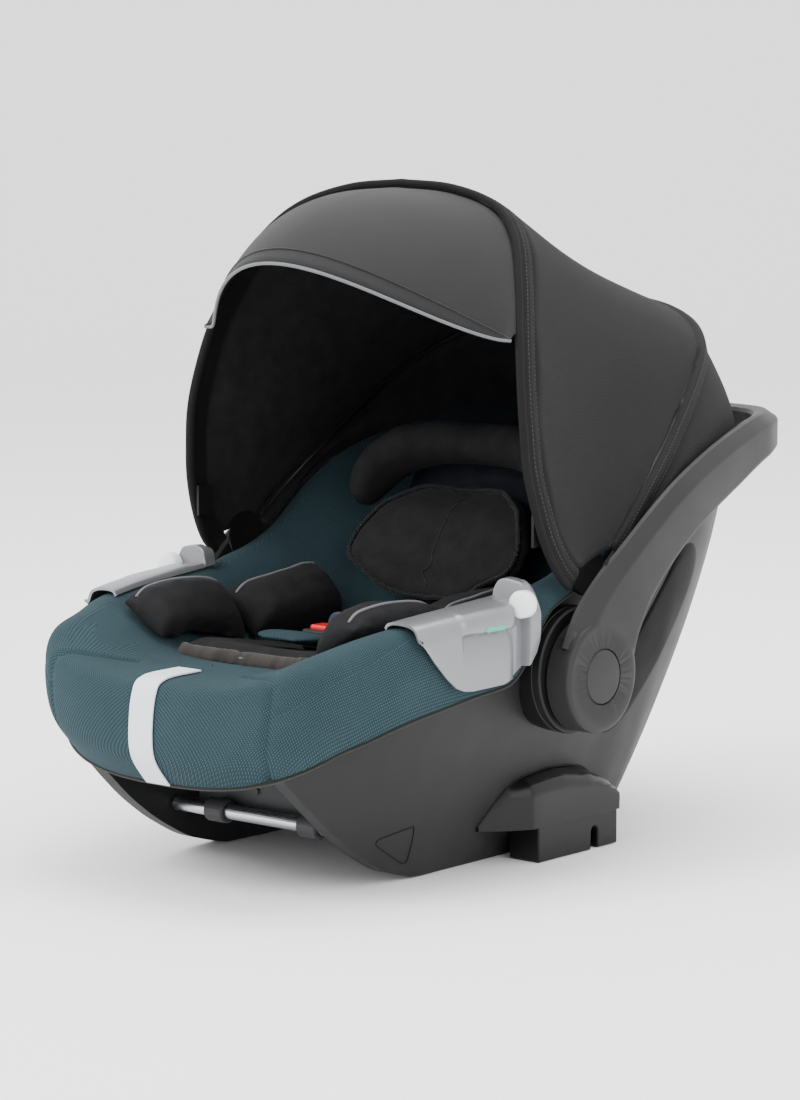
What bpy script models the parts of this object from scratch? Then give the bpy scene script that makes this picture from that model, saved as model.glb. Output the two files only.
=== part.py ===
"""Infant car seat with a folding canopy and a swinging carry handle.

Metres, +Z up, foot end at -Y, head end at +Y.
"""
import math

import bmesh
import bpy
import numpy as np
from mathutils import Matrix, Vector

GAP = 0.0005
Y_SHIFT = -0.0235

# Shell: half width at the rim, rim height, skid height, skid half width,
# channel height, hem height of the cover and height of the seat floor, along Y.
STATION_Y = [-0.285, -0.270, -0.250, -0.225, -0.195, -0.160, -0.120, -0.080, -0.066, -0.057, -0.045,
             -0.010, 0.030, 0.075, 0.120, 0.160, 0.195, 0.225, 0.252, 0.275, 0.292, 0.306]
RIM_HALF = [0.121, 0.132, 0.144, 0.156, 0.166, 0.171, 0.1745, 0.176, 0.1765, 0.1765, 0.177,
            0.1775, 0.178, 0.178, 0.1775, 0.175, 0.170, 0.162, 0.151, 0.138, 0.122, 0.100]
RIM_Z = [0.162, 0.175, 0.187, 0.196, 0.202, 0.206, 0.2095, 0.213, 0.2145, 0.2155, 0.219,
         0.228, 0.246, 0.283, 0.307, 0.318, 0.325, 0.330, 0.334, 0.337, 0.340, 0.341]
SKID_Z = [0.112, 0.095, 0.076, 0.053, 0.031, 0.011, 0.0, 0.0, 0.0, 0.0, 0.0,
          0.0, 0.0, 0.0, 0.0, 0.014, 0.050, 0.090, 0.134, 0.180, 0.220, 0.262]
SKID_HALF = [0.111, 0.113, 0.115, 0.116, 0.116, 0.114, 0.112, 0.111, 0.111, 0.111, 0.111,
             0.110, 0.108, 0.105, 0.101, 0.097, 0.094, 0.091, 0.088, 0.083, 0.075, 0.060]
CHANNEL_Z = [0.122, 0.109, 0.096, 0.082, 0.074, 0.070, 0.070, 0.070, 0.070, 0.070, 0.070,
             0.070, 0.070, 0.070, 0.070, 0.074, 0.084, 0.106, 0.142, 0.185, 0.223, 0.264]
HEM_Z = [0.106, 0.109, 0.117, 0.130, 0.141, 0.148, 0.155, 0.158, 0.165, 0.203, 0.215,
         0.2245, 0.241, 0.278, 0.302, 0.313, 0.320, 0.325, 0.329, 0.332, 0.335, 0.336]
FLOOR_Z = [0.159, 0.161, 0.162, 0.161, 0.157, 0.151, 0.144, 0.137, 0.1345, 0.133, 0.131,
           0.129, 0.135, 0.180, 0.243, 0.298, 0.3215, 0.3285, 0.3325, 0.335, 0.337, 0.338]
WALL = 0.006
SKID_WALL = 0.014
SIDE_BULGE = 1.9
SIDE_T = [0.0, 0.10, 0.22, 0.38, 0.56, 0.76, 1.0]
CAVITY_FRONT = -0.276
CAVITY_BACK = 0.284

# Backrest frame: origin on the backrest, direction up along it, normal towards the baby.
BACK_O = (0.0988, 0.2255)
BACK_D = (0.584, 0.812)

# Canopy
CANOPY_PIVOT = (0.005, 0.243)
FRONT_HOOP = [(0.1965, -0.028, 0.231), (0.1960, -0.041, 0.243), (0.193, -0.055, 0.267),
              (0.190, -0.065, 0.298), (0.186, -0.070, 0.327), (0.183, -0.071, 0.360),
              (0.177, -0.067, 0.395), (0.168, -0.058, 0.435), (0.155, -0.043, 0.475),
              (0.135, -0.024, 0.512), (0.105, -0.011, 0.536), (0.055, -0.006, 0.550), (0.0, -0.006, 0.554)]
REAR_HOOP = [(0.1955, 0.027, 0.259), (0.1935, 0.050, 0.279), (0.189, 0.078, 0.302), (0.183, 0.107, 0.324),
             (0.176, 0.135, 0.346), (0.168, 0.165, 0.370), (0.157, 0.195, 0.391), (0.143, 0.222, 0.407),
             (0.124, 0.246, 0.421), (0.098, 0.266, 0.433), (0.066, 0.279, 0.442), (0.033, 0.286, 0.447),
             (0.0, 0.288, 0.449)]
HOOP_COUNT = 13
BAND_WIDTH = 0.018
BAND_THICK = 0.003
CLOTH = 0.002
VISOR_HALF = 0.160
VISOR_END = (-0.068, 0.430)
VISOR_REACH = (-0.097, 0.060)
VISOR_STEPS = 8

# Carry handle
HANDLE_PIVOT = (-0.009, 0.160)
HUB_R = 0.046
HUB_IN = 0.1935
HUB_OUT = 0.2165
BUTTON_R = 0.0222
# x centre, y, z, half width, half height
HANDLE_PATH = [(0.2085, -0.012, 0.168, 0.0078, 0.0425), (0.2085, 0.000, 0.191, 0.0078, 0.0415),
               (0.2085, 0.016, 0.213, 0.0078, 0.0355), (0.2085, 0.041, 0.2375, 0.0078, 0.0290),
               (0.2065, 0.074, 0.2615, 0.0082, 0.0262), (0.2030, 0.112, 0.2835, 0.0085, 0.0250),
               (0.1970, 0.152, 0.3000, 0.0088, 0.0240), (0.1890, 0.200, 0.3160, 0.0092, 0.0225),
               (0.1800, 0.246, 0.3290, 0.0098, 0.0198), (0.1705, 0.279, 0.3350, 0.0105, 0.0178),
               (0.1490, 0.312, 0.3380, 0.0120, 0.0165), (0.1150, 0.335, 0.3385, 0.0135, 0.0160),
               (0.0600, 0.348, 0.3385, 0.0140, 0.0160), (0.0, 0.352, 0.3385, 0.0140, 0.0160)]

TUBE_Y = -0.174
TUBE_Z = 0.042
TUBE_R = 0.006
CLAMP_X = 0.051

# Linear red, green, blue, then roughness and metallic.
MATERIALS = {
    "shell_plastic": (0.045, 0.045, 0.046, 0.55, 0.0),
    "foam": (0.80, 0.80, 0.78, 0.85, 0.0),
    "teal_knit": (0.085, 0.150, 0.178, 0.90, 0.0),
    "label_black": (0.010, 0.010, 0.010, 0.35, 0.0),
    "hub_black": (0.018, 0.018, 0.018, 0.50, 0.0),
    "block_black": (0.028, 0.028, 0.028, 0.40, 0.0),
    "latch_steel": (0.55, 0.55, 0.56, 0.35, 1.0),
    "guide_silver": (0.48, 0.48, 0.48, 0.40, 0.0),
    "mark_green": (0.09, 0.42, 0.34, 0.50, 0.0),
    "white_plastic": (0.80, 0.80, 0.80, 0.45, 0.0),
    "tube_steel": (0.66, 0.67, 0.69, 0.35, 1.0),
    "clamp_grey": (0.120, 0.120, 0.124, 0.50, 0.0),
    "bracket_grey": (0.22, 0.22, 0.22, 0.50, 0.0),
    "handle_plastic": (0.070, 0.070, 0.070, 0.55, 0.0),
    "hoop_plastic": (0.045, 0.045, 0.045, 0.50, 0.0),
    "canopy_cloth": (0.060, 0.060, 0.060, 0.85, 0.0),
    "visor_cloth": (0.105, 0.105, 0.105, 0.80, 0.0),
    "insert_charcoal": (0.024, 0.024, 0.024, 0.95, 0.0),
    "headrest_navy": (0.016, 0.018, 0.030, 0.90, 0.0),
    "buckle_black": (0.018, 0.018, 0.018, 0.50, 0.0),
    "button_red": (0.68, 0.02, 0.03, 0.35, 0.0),
    "webbing_navy": (0.012, 0.022, 0.055, 0.85, 0.0),
    "webbing_white": (0.72, 0.78, 0.88, 0.80, 0.0),
}


def material(name):
    """The sub-part's material, made on first use from the table."""
    mat = bpy.data.materials.get(name)
    if mat is None:
        red, green, blue, roughness, metallic = MATERIALS[name]
        mat = bpy.data.materials.new(name)
        mat.use_nodes = True
        surface = mat.node_tree.nodes["Principled BSDF"].inputs
        surface["Base Color"].default_value = (red, green, blue, 1.0)
        surface["Roughness"].default_value = roughness
        surface["Metallic"].default_value = metallic
    return mat


def add_object(name, mesh, mat, smooth=False, pivot=None):
    """Link a mesh as a named object; pivot is the point its origin sits on."""
    for poly in mesh.polygons:
        poly.use_smooth = smooth
    origin = Vector(pivot) if pivot else Vector((0.0, 0.0, 0.0))
    mesh.transform(Matrix.Translation(-origin))
    mesh.materials.append(material(mat))
    obj = bpy.data.objects.new(name, mesh)
    obj.location = origin + Vector((0.0, Y_SHIFT, 0.0))
    bpy.context.scene.collection.objects.link(obj)
    return obj


def bm_object(name, bm, mat, smooth=False, pivot=None):
    bmesh.ops.remove_doubles(bm, verts=bm.verts, dist=1e-6)
    bmesh.ops.recalc_face_normals(bm, faces=bm.faces)
    mesh = bpy.data.meshes.new(name)
    bm.to_mesh(mesh)
    bm.free()
    return add_object(name, mesh, mat, smooth, pivot)


def loft(name, rings, mat, smooth=True, pivot=None, closed=False):
    """Closed solid through rings of equal length; the ends are capped."""
    bm = bmesh.new()
    loops = [[bm.verts.new(p) for p in ring] for ring in rings]
    pairs = list(zip(loops, loops[1:]))
    if closed:
        pairs.append((loops[-1], loops[0]))
    for a, b in pairs:
        for i in range(len(a)):
            j = (i + 1) % len(a)
            bm.faces.new((a[i], a[j], b[j], b[i]))
    if not closed:
        bm.faces.new(loops[0])
        bm.faces.new(loops[-1])
    return bm_object(name, bm, mat, smooth, pivot)


def slab(name, lower, upper, mat, smooth=True, pivot=None):
    """Closed solid between two grids of the same shape."""
    bm = bmesh.new()
    grids = [[[bm.verts.new(p) for p in row] for row in grid] for grid in (lower, upper)]
    rows = len(lower)
    cols = len(lower[0])
    for grid in grids:
        for i in range(rows - 1):
            for j in range(cols - 1):
                bm.faces.new((grid[i][j], grid[i][j + 1], grid[i + 1][j + 1], grid[i + 1][j]))
    border = [(0, j) for j in range(cols)] + [(i, cols - 1) for i in range(1, rows)]
    border += [(rows - 1, j) for j in range(cols - 2, -1, -1)] + [(i, 0) for i in range(rows - 2, 0, -1)]
    a, b = grids
    for (i, j), (k, m) in zip(border, border[1:] + border[:1]):
        bm.faces.new((a[i][j], a[k][m], b[k][m], b[i][j]))
    return bm_object(name, bm, mat, smooth, pivot)


def box(name, low, high, mat, pivot=None, bevel=0.0):
    bm = bmesh.new()
    size = [high[i] - low[i] for i in range(3)]
    mid = [(high[i] + low[i]) / 2 for i in range(3)]
    bmesh.ops.create_cube(bm, size=1.0, matrix=Matrix.Diagonal((*size, 1.0)))
    if bevel:
        bmesh.ops.bevel(bm, geom=bm.edges[:], offset=bevel, segments=1, affect="EDGES")
    bmesh.ops.transform(bm, matrix=Matrix.Translation(mid), verts=bm.verts)
    return bm_object(name, bm, mat, False, pivot)


def ring_x(x, y, z, r, count, squash=1.0):
    turns = [2 * math.pi * k / count for k in range(count)]
    return [(x, y + r * math.cos(t), z + squash * r * math.sin(t)) for t in turns]


def disc_x(name, x0, x1, centre, r, mat, count=32, bevel=0.0, pivot=None):
    """Solid disc with its axis along X, its x1 face bevelled."""
    step = math.copysign(bevel, x1 - x0)
    rings = [ring_x(x0, *centre, r, count)]
    if bevel:
        rings.append(ring_x(x1 - step, *centre, r, count))
        rings.append(ring_x(x1, *centre, r - bevel, count))
    else:
        rings.append(ring_x(x1, *centre, r, count))
    return loft(name, rings, mat, True, pivot)


def boolean(obj, cutter, operation="DIFFERENCE"):
    """Apply one exact Boolean and drop the second object."""
    mod = obj.modifiers.new("cut", "BOOLEAN")
    mod.operation = operation
    mod.solver = "EXACT"
    mod.object = cutter
    graph = bpy.context.evaluated_depsgraph_get()
    mesh = bpy.data.meshes.new_from_object(obj.evaluated_get(graph))
    obj.modifiers.clear()
    old = obj.data
    name = old.name
    obj.data = mesh
    bpy.data.meshes.remove(old)
    mesh.name = name
    extra = cutter.data
    bpy.data.objects.remove(cutter)
    bpy.data.meshes.remove(extra)


def at(table, y):
    return float(np.interp(y, STATION_Y, table))


def side_x(y, z):
    """Outer half width of the shell at a height."""
    low, high = at(SKID_Z, y), at(RIM_Z, y)
    t = min(max((z - low) / (high - low), 0.0), 1.0)
    ends = (at(SKID_HALF, y), at(RIM_HALF, y))
    return ends[0] + (ends[1] - ends[0]) * (1 - (1 - t) ** SIDE_BULGE)


def mirrored(half):
    """Full section from its right half, which starts on the centre plane and ends there."""
    left = [(-x, z) for x, z in reversed(half[1:-1])]
    return half + left


def offset_line(line, dist):
    """Move an x, z line along its upward or outward normals by one or many distances."""
    pts = np.array(line)
    dist = np.broadcast_to(dist, (len(pts),))
    tang = np.gradient(pts, axis=0)
    tang[0] = (1.0, 0.0)
    normal = np.stack([-tang[:, 1], tang[:, 0]], axis=1)
    normal /= np.linalg.norm(normal, axis=1)[:, None]
    return [tuple(p) for p in pts + normal * dist[:, None]]


def support_line(y, hem=True):
    """What the cover lies on: seat floor, side wall, rim and, if hem, down the outside."""
    w, rim, floor = at(RIM_HALF, y), at(RIM_Z, y), at(FLOOR_Z, y)
    rise = rim - floor
    line = [(0.0, floor), (0.26 * w, floor + 0.02 * rise), (0.46 * w, floor + 0.09 * rise),
            (0.62 * w, floor + 0.30 * rise), (0.75 * w, floor + 0.62 * rise),
            (0.87 * w, floor + 0.90 * rise), (0.955 * w, rim)]
    if hem:
        end = at(HEM_Z, y)
        line += [(w, rim - 0.001)] + [(side_x(y, z), z) for z in np.linspace(rim, end, 4)[1:]]
    return line


def build_shell():
    rings = []
    for y in STATION_Y:
        w, rim, low = at(RIM_HALF, y), at(RIM_Z, y), at(SKID_Z, y)
        foot, roof = at(SKID_HALF, y), at(CHANNEL_Z, y)
        outer = [(side_x(y, low + t * (rim - low)), low + t * (rim - low)) for t in SIDE_T]
        floor = roof + 0.008
        if not CAVITY_FRONT < y < CAVITY_BACK:
            floor = rim - 0.0015
        start = (floor - low) / (rim - low)
        inner = []
        for k in range(6):
            z = low + (start + (1 - start) * k / 5) * (rim - low)
            inner.append((side_x(y, z) - WALL, z))
        inner.reverse()
        half = [(0.0, roof), (foot - SKID_WALL, roof), (foot - SKID_WALL, low)] + outer + inner + [(0.0, floor)]
        rings.append([(x, y, z) for x, z in mirrored(half)])
    return loft("seat_shell", rings, "shell_plastic")


def build_liner():
    rings = []
    for y in [-0.266] + STATION_Y[2:19] + [0.272]:
        floor = at(CHANNEL_Z, y) + 0.008 + 0.0025
        rim = at(RIM_Z, y)
        under = [(0.0, floor)]
        for k in range(5):
            z = floor + (rim - 0.004 - floor) * k / 4
            under.append((side_x(y, z) - WALL - 0.002, z))
        top = offset_line(support_line(y, False), 0.0)[:6]
        top.reverse()
        rings.append([(x, y, z) for x, z in mirrored(under + top)])
    return loft("foam_liner", rings, "foam")


def build_cover():
    rings = []
    for y in [-0.283] + STATION_Y[1:21] + [0.3045]:
        line = support_line(y)
        back = np.interp(y, [-0.05, 0.03], [0.0, 1.0])
        thick = np.array([0.0105, 0.0105, 0.0105, 0.0105, 0.0105, 0.011, 0.011, 0.009, 0.009, 0.0085, 0.006])
        rear = np.array([0.0095, 0.0095, 0.0095, 0.0095, 0.0095, 0.009, 0.0075, 0.002, 0.002, 0.002, 0.002])
        thick = thick + (rear - thick) * back
        gap = np.array([0.0018] * 7 + [0.0024] * 4)
        under = offset_line(line, gap)
        over = offset_line(line, thick + gap)
        under.reverse()
        half = over + under
        rings.append([(x, y, z) for x, z in mirrored(half)])
    return loft("seat_cover", rings, "teal_knit")


def build_front_cushion():
    """Full foot-end roll in front of the shell."""
    sections = [(-0.3130, 0.088, 0.128, 0.156), (-0.3090, 0.108, 0.110, 0.166), (-0.3000, 0.124, 0.096, 0.1735),
                (-0.2865, 0.136, 0.088, 0.1770)]
    rings = []
    for y, half, low, high in sections:
        mid = (low + high) / 2
        rise = (high - low) / 2
        ring = []
        for k in range(28):
            turn = 2 * math.pi * k / 28
            c, s = math.cos(turn), math.sin(turn)
            x = half * math.copysign(abs(c) ** 0.35, c)
            z = mid + rise * math.copysign(abs(s) ** 0.6, s)
            ring.append((x, y, z))
        rings.append(ring)
    return loft("front_cushion", rings, "teal_knit")


def wall_plate(name, outline, thick, mat, sign, gap=GAP, flat_x=None):
    """Plate on the shell's side wall; flat_x gives it a flat outer face instead of an even thickness."""
    pts = np.array(outline)
    mid = pts.mean(axis=0)
    bm = bmesh.new()
    layers = []
    for out in (False, True):
        rings = []
        for scale in (1.0, 0.66, 0.33):
            ring = []
            for y, z in mid + (pts - mid) * scale:
                x = side_x(y, z) + gap
                if out:
                    x = flat_x if flat_x else x + thick
                ring.append(bm.verts.new((sign * x, y, z)))
            rings.append(ring)
        x = side_x(*mid) + gap
        if out:
            x = flat_x if flat_x else x + thick
        hub = bm.verts.new((sign * x, *mid))
        for a, b in zip(rings, rings[1:]):
            for i in range(len(a)):
                j = (i + 1) % len(a)
                bm.faces.new((a[i], a[j], b[j], b[i]))
        last = rings[-1]
        for i in range(len(last)):
            bm.faces.new((last[i], last[(i + 1) % len(last)], hub))
        layers.append(rings[0])
    a, b = layers
    for i in range(len(a)):
        j = (i + 1) % len(a)
        bm.faces.new((a[i], a[j], b[j], b[i]))
    return bm_object(name, bm, mat, False)


def build_side(sign, tag):
    """Everything fixed to one side wall of the shell."""
    wall_plate("label_panel_" + tag, [(0.180, 0.250), (0.195, 0.242), (0.203, 0.226), (0.193, 0.200),
                                      (0.170, 0.162), (0.140, 0.122), (0.122, 0.104), (0.102, 0.092),
                                      (0.084, 0.092), (0.074, 0.104), (0.074, 0.130), (0.100, 0.170),
                                      (0.135, 0.215), (0.160, 0.244)], 0.0008, "label_black", sign, 0.0016)
    wall_plate("wall_cap_" + tag, [(-0.180, 0.041), (-0.174, 0.043), (-0.149, 0.048), (-0.144, 0.046),
                                   (-0.138, 0.020), (-0.140, 0.016), (-0.146, 0.017), (-0.177, 0.036)],
               0.0012, "shell_plastic", sign, 0.0024)
    ring = [p[1:] for p in ring_x(0.0, -0.009, 0.163, 0.052, 40)]
    inner = [(sign * (side_x(y, z) + 0.0045), y, z) for y, z in ring]
    edge = [(sign * 0.1905, y, z) for y, z in ring]
    face = [(sign * 0.1925, -0.009 + (y + 0.009) * 0.96, 0.163 + (z - 0.163) * 0.96) for y, z in ring]
    loft("pivot_base_" + tag, [inner, edge, face], "hub_black")
    hood = [(-0.062, 0.030), (-0.058, 0.041), (-0.050, 0.054), (-0.040, 0.065), (-0.024, 0.073), (0.018, 0.075),
            (0.056, 0.070), (0.080, 0.062), (0.094, 0.050), (0.097, 0.030), (0.040, 0.0295), (-0.020, 0.0295)]
    block = wall_plate("adapter_block_" + tag, hood, 0.0, "block_black", sign, 0.0016, 0.1585)
    x_in = side_x(-0.02, 0.032) + 0.002
    low = bmesh.new()
    bmesh.ops.create_cube(low, size=1.0, matrix=Matrix.Translation((sign * (x_in + 0.1545) / 2, 0.041, 0.0165))
                          @ Matrix.Diagonal((0.1545 - x_in, 0.108, 0.031, 1.0)))
    boolean(block, bm_object("block_box", low, "block_black"), "UNION")
    notch = bmesh.new()
    bmesh.ops.create_cube(notch, size=1.0, matrix=Matrix.Translation((sign * 0.145, 0.063, 0.009))
                          @ Matrix.Diagonal((0.06, 0.009, 0.020, 1.0)))
    boolean(block, bm_object("block_notch", notch, "block_black"))
    pocket = bmesh.new()
    bmesh.ops.create_cube(pocket, size=1.0, matrix=Matrix.Translation((sign * 0.1445, 0.020, 0.008))
                          @ Matrix.Diagonal((0.012, 0.034, 0.022, 1.0)))
    boolean(block, bm_object("block_pocket", pocket, "block_black"))
    box("adapter_latch_" + tag, (min(sign * 0.1395, sign * 0.1492), 0.0045, 0.0015),
        (max(sign * 0.1395, sign * 0.1492), 0.0255, 0.0145), "latch_steel", bevel=0.0008,
        pivot=(sign * 0.1445, 0.015, 0.008))


def build_belt_guide(sign, tag):
    """Saddle over the rim with a slot under its hook and a disc in front of its ear."""
    rings = []
    for y, low, rise, out in [(-0.196, 0.203, 0.0165, 0.0165), (-0.184, 0.192, 0.0175, 0.0170),
                              (-0.168, 0.178, 0.0175, 0.0170), (-0.150, 0.165, 0.0175, 0.0170),
                              (-0.130, 0.162, 0.0175, 0.0170), (-0.108, 0.163, 0.0175, 0.0170),
                              (-0.092, 0.167, 0.0165, 0.0170), (-0.0800, 0.172, 0.0165, 0.0190),
                              (-0.0780, 0.173, 0.0290, 0.0210), (-0.067, 0.186, 0.0290, 0.0210)]:
        rim, w = at(RIM_Z, y), at(RIM_HALF, y)
        top = rim + rise
        x_out = w + out
        line = [(w - 0.030, rim + 0.0100), (w - 0.016, top - 0.0008), (w - 0.002, top), (w + 0.0115, top - 0.0045),
                (x_out, rim + 0.002), (x_out, (rim + low) / 2), (x_out - 0.0005, low)]
        under = [(w - 0.030, rim + 0.0070), (w - 0.016, rim + 0.0140), (w + 0.001, rim + 0.0145),
                 (w + 0.0112, rim + 0.0085), (w + 0.0140, rim + 0.002), (w + 0.0140, (rim + low) / 2),
                 (w + 0.0138, low)]
        rings.append([(sign * x, y, z) for x, z in line + list(reversed(under))])
    guide = loft("belt_guide_" + tag, rings, "guide_silver")
    slot = bmesh.new()
    bmesh.ops.create_cube(slot, size=1.0, matrix=Matrix.Translation((sign * 0.193, -0.113, 0.1865))
                          @ Matrix.Diagonal((0.010, 0.066, 0.0075, 1.0)))
    boolean(guide, bm_object("guide_slot", slot, "guide_silver"))
    x0 = at(RIM_HALF, -0.113) + 0.0178
    box("guide_mark_" + tag, (min(sign * x0, sign * (x0 + 0.0008)), -0.128, 0.2005),
        (max(sign * x0, sign * (x0 + 0.0008)), -0.100, 0.2045), "mark_green")
    seat = bmesh.new()
    bmesh.ops.create_cone(seat, cap_ends=True, segments=24, radius1=0.0105, radius2=0.0105, depth=0.0098,
                          matrix=Matrix.Translation((sign * 0.1935, -0.0834, 0.2245))
                          @ Matrix.Rotation(math.pi / 2, 4, "X"))
    boolean(guide, bm_object("guide_seat", seat, "guide_silver"))
    disc = disc_x("guide_disc_" + tag, 0.0, -0.0088, (0.0, 0.0), 0.0100, "white_plastic", 24, 0.001)
    disc.data.transform(Matrix.Translation((sign * 0.1935, -0.0790, 0.2245)) @ Matrix.Rotation(math.pi / 2, 4, "Z"))


def smooth_points(points, count):
    """Even points along a Catmull-Rom curve through the given ones."""
    pts = [Vector(p) for p in points]
    ext = [2 * pts[0] - pts[1]] + pts + [2 * pts[-1] - pts[-2]]
    dense = []
    for i in range(1, len(ext) - 2):
        a, b, c, d = ext[i - 1:i + 3]
        for k in range(16):
            t = k / 16
            dense.append(0.5 * (2 * b + (c - a) * t + (2 * a - 5 * b + 4 * c - d) * t * t
                                + (3 * b - a - 3 * c + d) * t ** 3))
    dense.append(pts[-1])
    lengths = np.concatenate([[0.0], np.cumsum([(q - p).length for p, q in zip(dense, dense[1:])])])
    marks = np.linspace(0.0, lengths[-1], count)
    table = np.array([list(p) for p in dense])
    return [Vector([float(np.interp(m, lengths, table[:, k])) for k in range(3)]) for m in marks]


def full_arch(points, count):
    half = smooth_points(points, count)
    return half + [Vector((-p.x, p.y, p.z)) for p in reversed(half[:-1])]


def rail_line():
    """Where the rear canopy panel meets the outside of the shell."""
    pts = [(at(RIM_HALF, y) + 0.0105, y, at(RIM_Z, y) - 0.003) for y in
           (0.045, 0.075, 0.120, 0.160, 0.195, 0.225, 0.252, 0.275, 0.292)]
    return pts + [(0.106, 0.3150, 0.336), (0.053, 0.3165, 0.337), (0.0, 0.3165, 0.337)]


def canopy_frame(front, rear):
    """Directions from the front curve to the rear one and outward normals."""
    frames = []
    centre = Vector((0.0, 0.06, 0.25))
    for i, p in enumerate(front):
        a = front[max(i - 1, 0)]
        b = front[min(i + 1, len(front) - 1)]
        tang = (b - a).normalized()
        across = rear[i] - p
        across -= across.dot(tang) * tang
        across.normalize()
        normal = tang.cross(across).normalized()
        if normal.dot(p - centre) < 0:
            normal = -normal
        frames.append((across, normal))
    return frames


def short_of(p, arch, i):
    """Point on the way from p to arch point i that stays clear of a rod along the arch."""
    tang = (arch[min(i + 1, len(arch) - 1)] - arch[max(i - 1, 0)]).normalized()
    way = (arch[i] - p).normalized()
    slant = max(way.cross(tang).length, 0.3)
    return arch[i] - way * (0.0062 / slant)


def build_canopy():
    front = full_arch(FRONT_HOOP, HOOP_COUNT)
    rear = full_arch(REAR_HOOP, HOOP_COUNT)
    rail = full_arch(rail_line(), HOOP_COUNT)
    frames = canopy_frame(front, rear)
    pivot = (0.0, *CANOPY_PIVOT)
    rings = []
    for p, (across, normal) in zip(front, frames):
        rings.append([p, p + across * BAND_WIDTH, p + across * BAND_WIDTH - normal * BAND_THICK,
                      p - normal * BAND_THICK])
    loft("canopy_front_hoop", rings, "hoop_plastic", pivot=pivot)
    steps = [0.0, 0.3, 0.65, 1.0]
    lower, upper = [], []
    for i, (p, (across, normal)) in enumerate(zip(front, frames)):
        start = p + across * (BAND_WIDTH + GAP)
        end = short_of(p, rear, i)
        row = []
        for v in steps:
            sag = -0.009 * math.sin(math.pi * v) * min((end - start).length / 0.2, 1.0)
            row.append(start.lerp(end, v) + normal * sag)
        upper.append([tuple(q) for q in row])
        lower.append([tuple(q - normal * CLOTH) for q in row])
    slab("canopy_front_panel", lower, upper, "canopy_cloth")
    rings = []
    for i, p in enumerate(rear):
        tang = (rear[min(i + 1, len(rear) - 1)] - rear[max(i - 1, 0)]).normalized()
        side = tang.cross(Vector((0.0, 0.6, -0.8))).normalized()
        up = side.cross(tang)
        turns = [math.pi * k / 4 for k in range(8)]
        rings.append([p - frames[i][1] * 0.001 + (side * math.cos(t) + up * math.sin(t)) * 0.003 for t in turns])
    loft("canopy_rear_hoop", rings, "hoop_plastic")
    back_frames = canopy_frame(rear, rail)
    lower, upper = [], []
    for i, (p, (across, normal)) in enumerate(zip(rear, back_frames)):
        span = (rail[i] - p).normalized()
        start = p + span * 0.0060
        row = [start.lerp(rail[i], v) + normal * 0.004 * math.sin(math.pi * v) for v in (0.0, 0.5, 1.0)]
        upper.append([tuple(q) for q in row])
        lower.append([tuple(q - normal * 0.0015) for q in row])
    slab("canopy_rear_panel", lower, upper, "canopy_cloth")
    arch = np.array([tuple(p) for p in front])
    lower, upper = [], []
    for k in range(-VISOR_STEPS, VISOR_STEPS + 1):
        x = VISOR_HALF * k / VISOR_STEPS
        out = 1 - (x / VISOR_HALF) ** 2
        edge = Vector((x, VISOR_END[0] + VISOR_REACH[0] * out ** 1.2, VISOR_END[1] + VISOR_REACH[1] * out ** 1.5))
        root = Vector((x, np.interp(x, -arch[4:-4, 0], arch[4:-4, 1]), np.interp(x, -arch[4:-4, 0], arch[4:-4, 2])))
        root += Vector((0.0, -0.005, -0.006))
        rise = Vector((0.0, -0.04, 0.09)) * (edge - root).length
        upper.append([tuple(p) for p in (root, root.lerp(edge, 0.5) + rise, edge)])
        lower.append([tuple(p + Vector((0.0, 0.0006, -CLOTH))) for p in (root, root.lerp(edge, 0.5) + rise, edge)])
    slab("canopy_visor", lower, upper, "visor_cloth", pivot=pivot)
    for sign, tag in ((-1, "L"), (1, "R")):
        disc_x("canopy_pivot_" + tag, sign * 0.1865, sign * 0.1892, CANOPY_PIVOT, 0.0215, "hub_black", 28, 0.0008,
               pivot=pivot)
        box("snap_tab_" + tag, (min(sign * 0.1825, sign * 0.1850), -0.060, 0.266),
            (max(sign * 0.1825, sign * 0.1850), -0.042, 0.292), "hoop_plastic", pivot=pivot)


def build_handle():
    rings = []
    path = [Vector(p[:3]) for p in HANDLE_PATH]
    sizes = [p[3:] for p in HANDLE_PATH]
    path += [Vector((-p.x, p.y, p.z)) for p in reversed(path[:-1])]
    sizes += list(reversed(sizes[:-1]))
    for i, p in enumerate(path):
        tang = (path[min(i + 1, len(path) - 1)] - path[max(i - 1, 0)]).normalized()
        side = tang.cross(Vector((0.0, 0.0, 1.0))).normalized()
        up = side.cross(tang)
        a, b = sizes[i]
        ring = []
        for u, v in ((1, 0.45), (0.55, 1), (-0.55, 1), (-1, 0.6), (-1, -0.6), (-0.55, -1), (0.55, -1), (1, -0.6)):
            ring.append(tuple(p + side * a * u + up * b * v))
        rings.append(ring)
    pivot = (0.0, *HANDLE_PIVOT)
    handle = loft("carry_handle", rings, "handle_plastic", pivot=pivot)
    for sign in (-1, 1):
        hub = disc_x("hub", sign * HUB_IN, sign * HUB_OUT, HANDLE_PIVOT, HUB_R, "handle_plastic", 48, 0.004)
        boolean(handle, hub, "UNION")
        well = disc_x("well", sign * 0.2035, sign * 0.23, HANDLE_PIVOT, BUTTON_R + 0.0006, "handle_plastic", 40)
        boolean(handle, well)
    for sign, tag in ((-1, "L"), (1, "R")):
        disc_x("handle_button_" + tag, sign * 0.2090, sign * (HUB_OUT + 0.0005), HANDLE_PIVOT, BUTTON_R,
               "handle_plastic", 40, 0.0006, pivot=(sign * 0.21, *HANDLE_PIVOT))


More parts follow.
